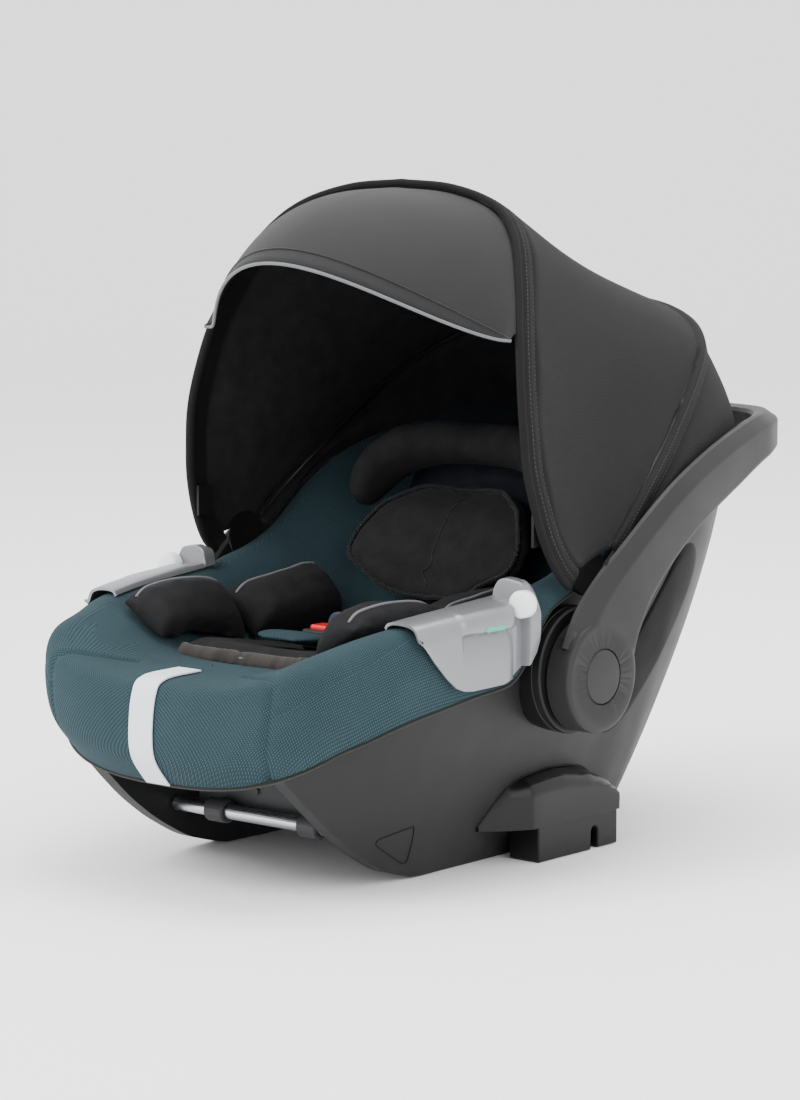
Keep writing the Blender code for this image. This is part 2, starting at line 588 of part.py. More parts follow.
def build_undercarriage():
    end = at(SKID_HALF, TUBE_Y) - SKID_WALL - 0.0015
    disc_x("front_tube", -end, end, (TUBE_Y, TUBE_Z), TUBE_R, "tube_steel", 24)
    for name, x in (("tube_clamp_L", -CLAMP_X), ("tube_clamp_R", CLAMP_X)):
        rings = []
        for dx, r in ((-0.010, 0.0088), (-0.009, 0.0098), (0.009, 0.0098), (0.010, 0.0088)):
            rings.append(ring_x(x + dx, TUBE_Y, TUBE_Z, r, 24))
        inner = [ring_x(x + dx, TUBE_Y, TUBE_Z, TUBE_R + GAP, 24) for dx in (0.010, -0.010)]
        loft(name, rings + inner, "clamp_grey", closed=True)
    box("tube_bracket", (-0.085, -0.1625, 0.0400), (0.085, -0.1610, 0.0685), "bracket_grey")
    for k, x in enumerate((-0.02, 0.07)):
        disc = disc_x("bracket_rivet_%d" % (k + 1), 0.0, 0.0015, (0.0, 0.0), 0.003, "tube_steel", 12)
        disc.data.transform(Matrix.Translation((x, -0.1630, 0.060)) @ Matrix.Rotation(-math.pi / 2, 4, "Z"))
    box("release_lever", (-0.045, 0.2975, 0.1800), (0.045, 0.3045, 0.2050), "block_black", bevel=0.002,
        pivot=(0.0, 0.301, 0.1925))


def on_back(d, n):
    """Point of the backrest frame as y, z."""
    return (BACK_O[0] + BACK_D[0] * d - BACK_D[1] * n, BACK_O[1] + BACK_D[1] * d + BACK_D[0] * n)


def pillow(name, sections, mat, pivot=None, turn_count=12):
    """Rounded pad through ellipse-like sections: x, centre d and n, half height, half depth."""
    rings = []
    for x, d, n, half_d, half_n in sections:
        ring = []
        for k in range(turn_count):
            t = 2 * math.pi * k / turn_count
            c, s = math.cos(t), math.sin(t)
            dd = d + half_d * math.copysign(abs(c) ** 0.7, c)
            nn = n + half_n * math.copysign(abs(s) ** 0.7, s)
            ring.append((x, *on_back(dd, nn)))
        rings.append(ring)
    return loft(name, rings, mat, pivot=pivot)


def conformal(name, stations, fractions, base, thick, mat, sign=1):
    """Pad that follows the seat between two stations, fractions across its half width."""
    lower, upper = [], []
    for k, y in enumerate(stations):
        line = np.array(support_line(y, False))
        w = at(RIM_HALF, y)
        xs = [f * w for f in fractions]
        pts = [(x, float(np.interp(x, line[:, 0], line[:, 1]))) for x in xs]
        ends = min(k, len(stations) - 1 - k)
        swell = (0.35, 0.85, 1.0)[min(ends, 2)]
        t = [base + max(0.003, v * swell) for v in thick]
        a = offset_line(pts, base)
        b = offset_line(pts, t)
        lower.append([(sign * x, y, z) for x, z in a])
        upper.append([(sign * x, y, z) for x, z in b])
    return slab(name, lower, upper, mat)


def build_inserts():
    cover_top = 0.0125
    lower, upper = [], []
    for y in (-0.206, -0.185, -0.150, -0.115, -0.085, -0.055, -0.025, 0.005, 0.022):
        line = support_line(y, False)[:3]
        line = [(-x, z) for x, z in reversed(line[1:])] + line
        swell = 0.006 if y < -0.20 or y > 0.02 else 0.009
        lower.append([(x, y, z + cover_top + 0.003) for x, z in line])
        upper.append([(x, y, z + cover_top + 0.003 + swell) for x, z in line])
    slab("reducer_base", lower, upper, "insert_charcoal")
    for sign, tag in ((-1, "L"), (1, "R")):
        conformal("leg_bolster_" + tag, (-0.210, -0.196, -0.170, -0.140, -0.114, -0.099),
                  (0.50, 0.58, 0.68, 0.78, 0.86), 0.0165, (0.010, 0.026, 0.034, 0.033, 0.014),
                  "insert_charcoal", sign)
        conformal("hip_bolster_" + tag, (-0.093, -0.078, -0.050, -0.022, 0.002, 0.018),
                  (0.50, 0.57, 0.65, 0.74, 0.81), 0.0165, (0.014, 0.038, 0.045, 0.040, 0.016),
                  "insert_charcoal", sign)
    half = [(0.096, -0.022, 0.056, 0.012, 0.004), (0.091, -0.021, 0.055, 0.020, 0.009),
            (0.076, -0.010, 0.0535, 0.036, 0.0125), (0.050, -0.007, 0.049, 0.054, 0.0130),
            (0.025, -0.006, 0.045, 0.060, 0.0130)]
    pillow("body_pad", [(-x, *rest) for x, *rest in half] + [(0.0, -0.006, 0.043, 0.062, 0.0130)]
           + list(reversed(half)), "insert_charcoal")
    pivot = (0.0, *on_back(0.07, 0.02))
    lower, upper = [], []
    for x in (-0.085, -0.045, 0.0, 0.045, 0.085):
        lower.append([(x, *on_back(d, 0.012)) for d in (0.012, 0.07, 0.130)])
        upper.append([(x, *on_back(d, n)) for d, n in ((0.012, 0.028), (0.07, 0.030), (0.130, 0.031))])
    slab("headrest_board", lower, upper, "headrest_navy", pivot=pivot)
    rings = []
    path = [(-0.1000, 0.013, 0.059, 0.006, 0.010), (-0.1010, 0.021, 0.061, 0.012, 0.018),
            (-0.0985, 0.036, 0.063, 0.015, 0.024), (-0.0900, 0.055, 0.064, 0.017, 0.026),
            (-0.0710, 0.073, 0.063, 0.018, 0.026), (-0.0400, 0.083, 0.060, 0.018, 0.024),
            (0.0, 0.086, 0.056, 0.018, 0.021)]
    path += [(-x, d, n, a, b) for x, d, n, a, b in reversed(path[:-1])]
    for i, (x, d, n, a, b) in enumerate(path):
        p, q = path[max(i - 1, 0)], path[min(i + 1, len(path) - 1)]
        tang = Vector((q[0] - p[0], q[1] - p[1])).normalized()
        out = Vector((-tang.y, tang.x))
        ring = []
        for k in range(12):
            t = 2 * math.pi * k / 12
            c, s = math.cos(t), math.sin(t)
            u = a * math.copysign(abs(c) ** 0.8, c)
            v = b * math.copysign(abs(s) ** 0.8, s)
            ring.append((x + out.x * u, *on_back(d + out.y * u, n + v)))
        rings.append(ring)
    loft("head_bolster", rings, "insert_charcoal", pivot=pivot)


def build_harness():
    buckle = box("buckle_body", (-0.021, -0.108, 0.1705), (0.021, -0.074, 0.1880), "buckle_black", bevel=0.002)
    well = bmesh.new()
    bmesh.ops.create_cube(well, size=1.0, matrix=Matrix.Translation((0.0, -0.096, 0.1915))
                          @ Matrix.Diagonal((0.0300, 0.0180, 0.0180, 1.0)))
    boolean(buckle, bm_object("buckle_well", well, "buckle_black"))
    box("buckle_button", (-0.0145, -0.1045, 0.1860), (0.0145, -0.0875, 0.1915), "button_red", bevel=0.0015,
        pivot=(0.0, -0.096, 0.188))
    for sign, tag in ((-1, "L"), (1, "R")):
        rings = []
        for y, grow in ((-0.0730, 0.9), (-0.0715, 1.0), (-0.0695, 1.0), (-0.0680, 0.9)):
            ring = []
            for k in range(16):
                t = 2 * math.pi * k / 16
                ring.append((sign * 0.0125 + 0.011 * grow * math.cos(t), y, 0.186 + 0.0125 * grow * math.sin(t)))
            rings.append(ring)
        loft("harness_tongue_" + tag, rings, "webbing_navy")
    rings = []
    for y, half, low, high in ((-0.160, 0.022, 0.1855, 0.1885), (-0.155, 0.030, 0.1845, 0.1920),
                               (-0.140, 0.034, 0.1810, 0.1920), (-0.122, 0.032, 0.1765, 0.1890),
                               (-0.112, 0.024, 0.1745, 0.1810)):
        mid, rise = (low + high) / 2, (high - low) / 2
        ring = []
        for k in range(16):
            t = 2 * math.pi * k / 16
            c, s = math.cos(t), math.sin(t)
            ring.append((half * math.copysign(abs(c) ** 0.6, c), y, mid + rise * math.copysign(abs(s) ** 0.6, s)))
        rings.append(ring)
    loft("crotch_pad", rings, "teal_knit")
    path = [(-0.244, 0.1770), (-0.256, 0.1785), (-0.272, 0.1795), (-0.2865, 0.1795), (-0.3010, 0.1760),
            (-0.3110, 0.1685), (-0.3152, 0.1570), (-0.3152, 0.1270), (-0.3110, 0.1080), (-0.3020, 0.0935),
            (-0.2920, 0.0850)]
    rings = []
    for i, (y, z) in enumerate(path):
        a, b = path[max(i - 1, 0)], path[min(i + 1, len(path) - 1)]
        tang = Vector((b[0] - a[0], b[1] - a[1])).normalized()
        ny, nz = tang.y, -tang.x
        for_y, for_z = (ny, nz) if nz > 0 or ny < 0 else (-ny, -nz)
        rings.append([(-0.0125, y, z), (0.0125, y, z), (0.0125, y + for_y * 0.0015, z + for_z * 0.0015),
                      (-0.0125, y + for_y * 0.0015, z + for_z * 0.0015)])
    loft("adjuster_strap", rings, "webbing_white")


def main():
    for obj in list(bpy.data.objects):
        bpy.data.objects.remove(obj, do_unlink=True)
    build_shell()
    build_liner()
    build_cover()
    build_front_cushion()
    for sign, tag in ((-1, "L"), (1, "R")):
        build_side(sign, tag)
        build_belt_guide(sign, tag)
    build_undercarriage()
    build_handle()
    build_canopy()
    build_inserts()
    build_harness()


main()
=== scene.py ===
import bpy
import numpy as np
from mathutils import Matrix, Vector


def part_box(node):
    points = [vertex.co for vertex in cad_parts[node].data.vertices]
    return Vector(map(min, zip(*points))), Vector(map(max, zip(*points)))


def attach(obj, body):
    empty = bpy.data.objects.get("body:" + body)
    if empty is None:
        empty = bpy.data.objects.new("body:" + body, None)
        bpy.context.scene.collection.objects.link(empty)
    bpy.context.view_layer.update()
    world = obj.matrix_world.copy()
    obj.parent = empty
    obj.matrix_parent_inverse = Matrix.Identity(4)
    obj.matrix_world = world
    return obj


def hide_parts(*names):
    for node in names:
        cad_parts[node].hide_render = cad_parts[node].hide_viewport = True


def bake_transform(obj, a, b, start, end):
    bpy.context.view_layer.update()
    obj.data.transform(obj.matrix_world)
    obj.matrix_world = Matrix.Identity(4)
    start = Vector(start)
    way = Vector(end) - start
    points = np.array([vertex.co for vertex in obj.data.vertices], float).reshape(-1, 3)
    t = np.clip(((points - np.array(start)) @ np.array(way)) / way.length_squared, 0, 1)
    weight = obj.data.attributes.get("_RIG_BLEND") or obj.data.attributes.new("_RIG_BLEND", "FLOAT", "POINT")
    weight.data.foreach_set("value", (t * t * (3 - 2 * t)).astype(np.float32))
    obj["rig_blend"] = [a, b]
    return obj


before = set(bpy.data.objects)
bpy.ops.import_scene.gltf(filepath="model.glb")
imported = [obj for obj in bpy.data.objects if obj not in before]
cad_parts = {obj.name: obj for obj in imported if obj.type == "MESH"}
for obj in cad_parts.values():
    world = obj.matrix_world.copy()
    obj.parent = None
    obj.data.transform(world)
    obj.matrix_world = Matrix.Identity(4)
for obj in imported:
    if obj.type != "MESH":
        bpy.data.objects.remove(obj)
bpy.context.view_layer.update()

import math

import bmesh
import bpy
import numpy as np
from mathutils import Matrix, Vector
from mathutils.bvhtree import BVHTree

bl_info = {
    "name": "Infant car seat",
    "version": (1, 0, 0),
    "blender": (4, 5, 0),
    "location": "View3D > Sidebar > Car seat",
    "description": "Builds the cloth, padding, plastics and stage of an infant car seat around its frame",
    "category": "Object",
}

# The seat's own frame is the row frame moved along Y by SHIFT; the canopy's pivot is at 0.005 in it.
SHIFT = sum(corner.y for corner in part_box("canopy_pivot_R")) / 2 - 0.005
AXLE_Y = sum(corner.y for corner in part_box("handle_button_R")) / 2 - SHIFT
AXLE_Z = sum(corner.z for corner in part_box("handle_button_R")) / 2

# Shell: half width and height of the rim, height and half width of the skids,
# height of the channel, the cover's hem and the seat floor, at stations along Y.
STATION_Y = [-0.285, -0.270, -0.250, -0.225, -0.195, -0.160, -0.120, -0.080, -0.066, -0.057, -0.045,
             -0.010, 0.030, 0.075, 0.120, 0.160, 0.195, 0.225, 0.252, 0.275, 0.292, 0.306]
RIM_HALF = [0.121, 0.132, 0.144, 0.156, 0.166, 0.171, 0.1745, 0.176, 0.1765, 0.1765, 0.177,
            0.1775, 0.178, 0.178, 0.1775, 0.175, 0.170, 0.162, 0.151, 0.138, 0.122, 0.100]
RIM_Z = [0.162, 0.175, 0.187, 0.196, 0.202, 0.206, 0.2095, 0.213, 0.2145, 0.2155, 0.219,
         0.228, 0.246, 0.283, 0.307, 0.318, 0.325, 0.330, 0.334, 0.337, 0.340, 0.341]
SKID_Z = [0.112, 0.095, 0.076, 0.053, 0.031, 0.011, 0.0, 0.0, 0.0, 0.0, 0.0,
          0.0, 0.0, 0.0, 0.0, 0.014, 0.050, 0.090, 0.134, 0.180, 0.220, 0.262]
SKID_HALF = [0.111, 0.113, 0.115, 0.116, 0.116, 0.114, 0.112, 0.111, 0.111, 0.111, 0.111,
             0.110, 0.108, 0.105, 0.101, 0.097, 0.094, 0.091, 0.088, 0.083, 0.075, 0.060]
CHANNEL_Z = [0.122, 0.109, 0.096, 0.082, 0.074, 0.070, 0.070, 0.070, 0.070, 0.070, 0.070,
             0.070, 0.070, 0.070, 0.070, 0.074, 0.084, 0.106, 0.142, 0.185, 0.223, 0.264]
HEM_Z = [0.106, 0.109, 0.117, 0.130, 0.141, 0.148, 0.155, 0.158, 0.165, 0.203, 0.215,
         0.2245, 0.241, 0.278, 0.302, 0.313, 0.320, 0.325, 0.329, 0.332, 0.335, 0.336]
FLOOR_Z = [0.159, 0.161, 0.162, 0.161, 0.157, 0.151, 0.144, 0.137, 0.1345, 0.133, 0.131,
           0.129, 0.135, 0.180, 0.243, 0.298, 0.3215, 0.3285, 0.3325, 0.335, 0.337, 0.338]
WALL = 0.006
SKID_WALL = 0.014
SIDE_BULGE = 1.9
GUIDE_WALL = 0.0024
KNIT_THICKNESS = 0.0022
CANOPY_CLOTH_THICKNESS = 0.0016
WEBBING_THICKNESS = 0.0012
BAND_WIDTH = 0.0185

# The cover round the foot end: half length and width of its outlines about NOSE_Y, and
# their heights at the side and at the front, from the middle of the seat out to the hem.
NOSE_Y = -0.235
NOSE = [(0.0, 0.0, 0.1735, 0.1735), (0.0393, 0.012, 0.1745, 0.1730), (0.0665, 0.024, 0.1768, 0.1728),
        (0.0876, 0.036, 0.1830, 0.1726), (0.1065, 0.047, 0.1914, 0.1724), (0.1246, 0.0565, 0.1986, 0.1720),
        (0.1397, 0.0655, 0.2033, 0.1705), (0.1545, 0.0735, 0.1985, 0.1650), (0.1590, 0.0785, 0.178, 0.143),
        (0.1560, 0.0775, 0.150, 0.113), (0.1470, 0.0600, 0.125, 0.088)]

# Canopy arches, from the right hand pivot up to the middle.
FRONT_ARCH = [(0.1965, -0.028, 0.231), (0.1960, -0.041, 0.243), (0.193, -0.055, 0.267),
              (0.190, -0.065, 0.298), (0.186, -0.070, 0.327), (0.183, -0.071, 0.360),
              (0.177, -0.067, 0.395), (0.168, -0.058, 0.435), (0.155, -0.043, 0.475),
              (0.135, -0.024, 0.512), (0.105, -0.011, 0.536), (0.055, -0.006, 0.550), (0.0, -0.006, 0.554)]
REAR_ARCH = [(0.1955, 0.027, 0.259), (0.1935, 0.050, 0.279), (0.189, 0.078, 0.302), (0.183, 0.107, 0.324),
             (0.176, 0.135, 0.346), (0.168, 0.165, 0.370), (0.157, 0.195, 0.391), (0.143, 0.222, 0.407),
             (0.124, 0.246, 0.421), (0.098, 0.266, 0.433), (0.066, 0.279, 0.442), (0.033, 0.286, 0.447),
             (0.0, 0.288, 0.449)]
ARCH_COUNT = 65
VISOR_HALF = 0.160
VISOR_END = (-0.068, 0.430)
VISOR_REACH = (-0.097, 0.060)

# Carry handle: x centre, y, z, half width, half height.
HANDLE_PATH = [(0.2085, -0.012, 0.168, 0.0078, 0.0425), (0.2085, 0.000, 0.191, 0.0078, 0.0415),
               (0.2085, 0.016, 0.213, 0.0078, 0.0355), (0.2085, 0.041, 0.2375, 0.0078, 0.0290),
               (0.2065, 0.074, 0.2615, 0.0082, 0.0262), (0.2030, 0.112, 0.2835, 0.0085, 0.0250),
               (0.1970, 0.152, 0.3000, 0.0088, 0.0240), (0.1890, 0.200, 0.3160, 0.0092, 0.0225),
               (0.1800, 0.246, 0.3290, 0.0098, 0.0198), (0.1705, 0.279, 0.3350, 0.0105, 0.0178),
               (0.1490, 0.312, 0.3380, 0.0120, 0.0165), (0.1150, 0.335, 0.3385, 0.0135, 0.0160),
               (0.0600, 0.348, 0.3385, 0.0140, 0.0160), (0.0, 0.352, 0.3385, 0.0140, 0.0160)]

BACK_O = (0.0988, 0.2255)
BACK_D = (0.584, 0.812)

SIDES = ((-1, "L"), (1, "R"))


# ---------------------------------------------------------------- shapes

SPAN_STEPS = 12


def resample(points, count, closed=False):
    """Even points along a smooth curve through the given ones; any number of columns."""
    pts = np.array([list(p) for p in points], float)
    if closed:
        pts = np.vstack([pts[-1], pts, pts[0], pts[1]])
    else:
        pts = np.vstack([2 * pts[0] - pts[1], pts, 2 * pts[-1] - pts[-2]])
    dense = []
    for a, b, c, d in zip(pts, pts[1:], pts[2:], pts[3:]):
        for t in np.arange(SPAN_STEPS) / SPAN_STEPS:
            dense.append(0.5 * (2 * b + (c - a) * t + (2 * a - 5 * b + 4 * c - d) * t * t
                                + (3 * b - a - 3 * c + d) * t ** 3))
    if not closed:
        dense.append(pts[-2])
    else:
        dense.append(dense[0])
    dense = np.array(dense)
    run = np.concatenate([[0.0], np.cumsum(np.linalg.norm(np.diff(dense[:, :3], axis=0), axis=1))])
    marks = np.linspace(0.0, run[-1], count + 1 if closed else count)
    out = np.stack([np.interp(marks, run, dense[:, k]) for k in range(dense.shape[1])], axis=1)
    return out[:-1] if closed else out


def full_arch(points, count=ARCH_COUNT):
    half = resample(points, count)
    return np.vstack([half, half[-2::-1] * (-1, 1, 1)])


def unit(vectors):
    return vectors / np.maximum(np.linalg.norm(vectors, axis=-1, keepdims=True), 1e-12)


FINE_Y = np.linspace(-0.300, 0.320, 621)
SOFTEN = 7.0
SOFTEN_REACH = 24


def softened(values):
    """A station table as one smooth curve at 1 mm steps."""
    dense = np.interp(FINE_Y, STATION_Y, values)
    kernel = np.exp(-0.5 * (np.arange(-SOFTEN_REACH, SOFTEN_REACH + 1) / SOFTEN) ** 2)
    padded = np.pad(dense, SOFTEN_REACH, mode="reflect", reflect_type="odd")
    return np.convolve(padded, kernel / kernel.sum(), "valid")


RIM_HALF_AT, RIM_Z_AT, SKID_Z_AT, SKID_HALF_AT, CHANNEL_Z_AT, HEM_Z_AT, FLOOR_Z_AT = (
    softened(table) for table in (RIM_HALF, RIM_Z, SKID_Z, SKID_HALF, CHANNEL_Z, HEM_Z, FLOOR_Z))


def at(curve, y):
    return float(np.interp(y, FINE_Y, curve))


def side_x(y, z):
    """Outer half width of the shell at a height."""
    low, high = at(SKID_Z_AT, y), at(RIM_Z_AT, y)
    t = min(max((z - low) / (high - low), 0.0), 1.0)
    foot, rim = at(SKID_HALF_AT, y), at(RIM_HALF_AT, y)
    return foot + (rim - foot) * (1 - (1 - t) ** SIDE_BULGE)


def on_back(d, n):
    """Point of the backrest frame as y, z: d up along it, n towards the baby."""
    return (BACK_O[0] + BACK_D[0] * d - BACK_D[1] * n, BACK_O[1] + BACK_D[1] * d + BACK_D[0] * n)


# ---------------------------------------------------------------- meshes

def make_piece(name, points, faces, finishes, indices=None, sharp=None):
    """A mesh object from points in the seat's own frame."""
    pts = np.array(points, float) + (0.0, SHIFT, 0.0)
    mesh = bpy.data.meshes.new(name)
    mesh.from_pydata([tuple(p) for p in pts], [], faces)
    for finish in finishes if isinstance(finishes, (list, tuple)) else [finishes]:
        mesh.materials.append(finish)
    if indices is not None:
        mesh.polygons.foreach_set("material_index", indices)
    mesh.update()
    piece = bpy.data.objects.new(name, mesh)
    bpy.context.scene.collection.objects.link(piece)
    shade(piece, sharp)
    return piece


def shade(piece, sharp=None):
    """Smooth shading, with edges sharper than an angle in degrees kept crisp."""
    piece.data.shade_smooth()
    if sharp:
        piece.data.set_sharp_from_angle(angle=math.radians(sharp))


def tidy_normals(piece):
    bm = bmesh.new()
    bm.from_mesh(piece.data)
    bmesh.ops.remove_doubles(bm, verts=bm.verts, dist=1e-6)
    bmesh.ops.recalc_face_normals(bm, faces=bm.faces)
    bm.to_mesh(piece.data)
    bm.free()


def apply_modifiers(piece):
    graph = bpy.context.evaluated_depsgraph_get()
    mesh = bpy.data.meshes.new_from_object(piece.evaluated_get(graph))
    piece.modifiers.clear()
    old = piece.data
    piece.data = mesh
    bpy.data.meshes.remove(old)


def soften_edges(piece, width, segments=2, angle=35.0):
    """Round the crisp edges of a hard piece and weight its normals to its large faces."""
    bevel = piece.modifiers.new("edges", "BEVEL")
    bevel.width = width
    bevel.segments = segments
    bevel.limit_method = "ANGLE"
    bevel.angle_limit = math.radians(angle)
    bevel.harden_normals = False
    apply_modifiers(piece)
    piece.data.shade_smooth()
    piece.modifiers.new("normals", "WEIGHTED_NORMAL").keep_sharp = True
    apply_modifiers(piece)


def cut(piece, other, operation="DIFFERENCE"):
    """One exact Boolean; the second object is used up."""
    step = piece.modifiers.new("cut", "BOOLEAN")
    step.operation = operation
    step.solver = "EXACT"
    step.object = other
    apply_modifiers(piece)
    bpy.data.objects.remove(other)


def block(low, high, finish):
    """A box cutter or base, in the seat's own frame."""
    pts = [(x, y, z) for x in (low[0], high[0]) for y in (low[1], high[1]) for z in (low[2], high[2])]
    faces = [(0, 1, 3, 2), (4, 6, 7, 5), (0, 4, 5, 1), (2, 3, 7, 6), (0, 2, 6, 4), (1, 5, 7, 3)]
    return make_piece("block", pts, faces, finish)


def ring_faces(rows, cols, start=0, closed_rows=False, closed_cols=True):
    """Quads between successive rows of points."""
    faces = []
    for i in range(rows if closed_rows else rows - 1):
        k = (i + 1) % rows
        for j in range(cols if closed_cols else cols - 1):
            m = (j + 1) % cols
            faces.append((start + i * cols + j, start + i * cols + m, start + k * cols + m,
                          start + k * cols + j))
    return faces


def loft(name, rings, finish, sharp=None, closed=False):
    """Closed solid through rings of equal length."""
    rings = np.array(rings, float)
    rows, cols = rings.shape[:2]
    faces = ring_faces(rows, cols, closed_rows=closed)
    if not closed:
        faces.append(tuple(range(cols)))
        faces.append(tuple(range((rows - 1) * cols, rows * cols)))
    piece = make_piece(name, rings.reshape(-1, 3), faces, finish, sharp=sharp)
    tidy_normals(piece)
    shade(piece, sharp)
    return piece


def lathe_x(name, profile, centre, finish, count=72, sharp=30.0, scale=1.0):
    """Solid of revolution about an axis along X; profile is x, radius from one end to the other."""
    turns = np.arange(count) * 2 * math.pi / count
    rings = [[(x, centre[0] + r * math.cos(t), centre[1] + scale * r * math.sin(t)) for t in turns]
             for x, r in profile]
    return loft(name, rings, finish, sharp)


def grid_normals(grid):
    du = np.gradient(grid, axis=0)
    dv = np.gradient(grid, axis=1)
    return unit(np.cross(du, dv))


def sheet_piece(name, outer, inner, finishes, sharp=None):
    """Cloth with an outer and an inner face; finishes are outer, inner and edge."""
    rows, cols = outer.shape[:2]
    count = rows * cols
    face = ring_faces(rows, cols, closed_cols=False)
    back = [tuple(reversed([i + count for i in f])) for f in face]
    border = [(0, j) for j in range(cols)] + [(i, cols - 1) for i in range(1, rows)]
    border += [(rows - 1, j) for j in range(cols - 2, -1, -1)] + [(i, 0) for i in range(rows - 2, 0, -1)]
    ids = [i * cols + j for i, j in border]
    edge = [(b, a, a + count, b + count) for a, b in zip(ids, ids[1:] + ids[:1])]
    indices = [0] * len(face) + [1] * len(back) + [2 if len(finishes) > 2 else 0] * len(edge)
    points = np.vstack([outer.reshape(-1, 3), inner.reshape(-1, 3)])
    return make_piece(name, points, face + back + edge, finishes, indices, sharp)


def path_frames(path, closed=False, up=(0.0, 0.0, 1.0)):
    """Normals and side vectors along a path; up is one vector or one for each point."""
    if closed:
        tang = unit(np.roll(path, -1, axis=0) - np.roll(path, 1, axis=0))
    else:
        tang = unit(np.gradient(path, axis=0))
    up = np.broadcast_to(np.array(up, float), path.shape)
    side = unit(np.cross(tang, up))
    return unit(np.cross(side, tang)), side


def tube(name, path, radius, finish, sides=10, closed=False, up=(0.0, 0.0, 1.0), flat=1.0, taper=False):
    """Round or flattened bar along a path."""
    path = np.array(path, float)
    normal, side = path_frames(path, closed, up)
    radius = np.broadcast_to(np.array(radius, float), (len(path),)).copy()
    if taper:
        radius[[0, -1]] *= 0.35
    turns = np.arange(sides) * 2 * math.pi / sides
    rings = (path[:, None] + radius[:, None, None] * (np.cos(turns)[None, :, None] * side[:, None]
                                                      + flat * np.sin(turns)[None, :,
                                                                             None] * normal[:, None]))
    return loft(name, rings, finish, closed=closed)


def rope(name, path, radius, pitch, finish, strands=3, closed=False):
    """Twisted cord of a few strands."""
    path = np.array(path, float)
    length = np.linalg.norm(np.diff(path, axis=0), axis=1).sum()
    path = resample(path, max(int(length / 0.0012), 20), closed)
    normal, side = path_frames(path, closed)
    turns = 2 * math.pi * round(length / pitch) * np.arange(len(path)) / len(path)
    parts = []
    for k in range(strands):
        phase = turns + 2 * math.pi * k / strands
        way = np.cos(phase)[:, None] * side + np.sin(phase)[:, None] * normal
        parts.append(tube(name if k == 0 else name + "_strand", path + way * radius * 0.55, radius * 0.55,
                          finish, 6,
                          closed))
    return join(parts)


def join(parts):
    """One object from several; the first keeps its name and finishes."""
    bm = bmesh.new()
    finishes = []
    for part in parts:
        for finish in part.data.materials:
            if finish not in finishes:
                finishes.append(finish)
    for part in parts:
        table = [finishes.index(m) for m in part.data.materials]
        start = len(bm.faces)
        bm.from_mesh(part.data)
        bm.faces.ensure_lookup_table()
        for face in bm.faces[start:]:
            face.material_index = table[min(face.material_index, len(table) - 1)]
    first = parts[0]
    mesh = bpy.data.meshes.new(first.name)
    bm.to_mesh(mesh)
    bm.free()
    for finish in finishes:
        mesh.materials.append(finish)
    first.data = mesh
    for part in parts[1:]:
        bpy.data.objects.remove(part)
    return first


def stitches(name, path, up, finish, pitch=0.0034, length=0.0024, radius=0.00042):
    """A row of thread stitches lying on a surface; up is its normal at each path point."""
    path = np.array(path, float)
    run = np.concatenate([[0.0], np.cumsum(np.linalg.norm(np.diff(path, axis=0), axis=1))])
    marks = np.arange(pitch, run[-1] - pitch / 2, pitch)
    up = np.broadcast_to(np.array(up, float), path.shape)
    spots = np.stack([np.interp(marks, run, path[:, k]) for k in range(3)], axis=1)
    ways = unit(np.stack([np.interp(marks, run, np.gradient(path, axis=0)[:, k]) for k in range(3)], axis=1))
    ups = unit(np.stack([np.interp(marks, run, up[:, k]) for k in range(3)], axis=1))
    sides = unit(np.cross(ways, ups))
    points, faces = [], []
    for spot, way, normal, side in zip(spots, ways, ups, sides):
        base = len(points)
        points.append(spot - way * length / 2)
        for along in (-0.28, 0.28):
            for t in (0.25, 0.75, 1.25, 1.75):
                points.append(spot + way * along * length + side * radius * math.cos(t * math.pi)
                              + normal * radius * math.sin(t * math.pi))
        points.append(spot + way * length / 2)
        for j in range(4):
            m = (j + 1) % 4
            faces.append((base, base + 1 + m, base + 1 + j))
            faces.append((base + 1 + j, base + 1 + m, base + 5 + m, base + 5 + j))
            faces.append((base + 5 + j, base + 5 + m, base + 9))
    piece = make_piece(name, points, faces, finish)
    tidy_normals(piece)
    shade(piece)
    return piece


def copy_node(node, name, finish):
    """A welded copy of a CAD node, to be worked into a finished piece."""
    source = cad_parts[node]
    bm = bmesh.new()
    bm.from_mesh(source.data)
    bmesh.ops.remove_doubles(bm, verts=bm.verts, dist=2e-5)
    bmesh.ops.recalc_face_normals(bm, faces=bm.faces)
    mesh = bpy.data.meshes.new(name)
    bm.to_mesh(mesh)
    bm.free()
    for key in [a.name for a in mesh.attributes if a.name in ("custom_normal", "sharp_face", "sharp_edge")]:
        mesh.attributes.remove(mesh.attributes[key])
    mesh.materials.clear()
    mesh.materials.append(finish)
    mesh.polygons.foreach_set("material_index", [0] * len(mesh.polygons))
    piece = bpy.data.objects.new(name, mesh)
    bpy.context.scene.collection.objects.link(piece)
    return piece


def coordinates(piece):
    co = np.empty(len(piece.data.vertices) * 3)
    piece.data.vertices.foreach_get("co", co)
    return co.reshape(-1, 3)


def set_coordinates(piece, co):
    piece.data.vertices.foreach_set("co", np.ascontiguousarray(co, float).ravel())
    piece.data.update()


def vertex_normals(piece):
    no = np.empty(len(piece.data.vertices) * 3)
    piece.data.vertices.foreach_get("normal", no)
    return no.reshape(-1, 3)


CLOTH_STEPS = 20


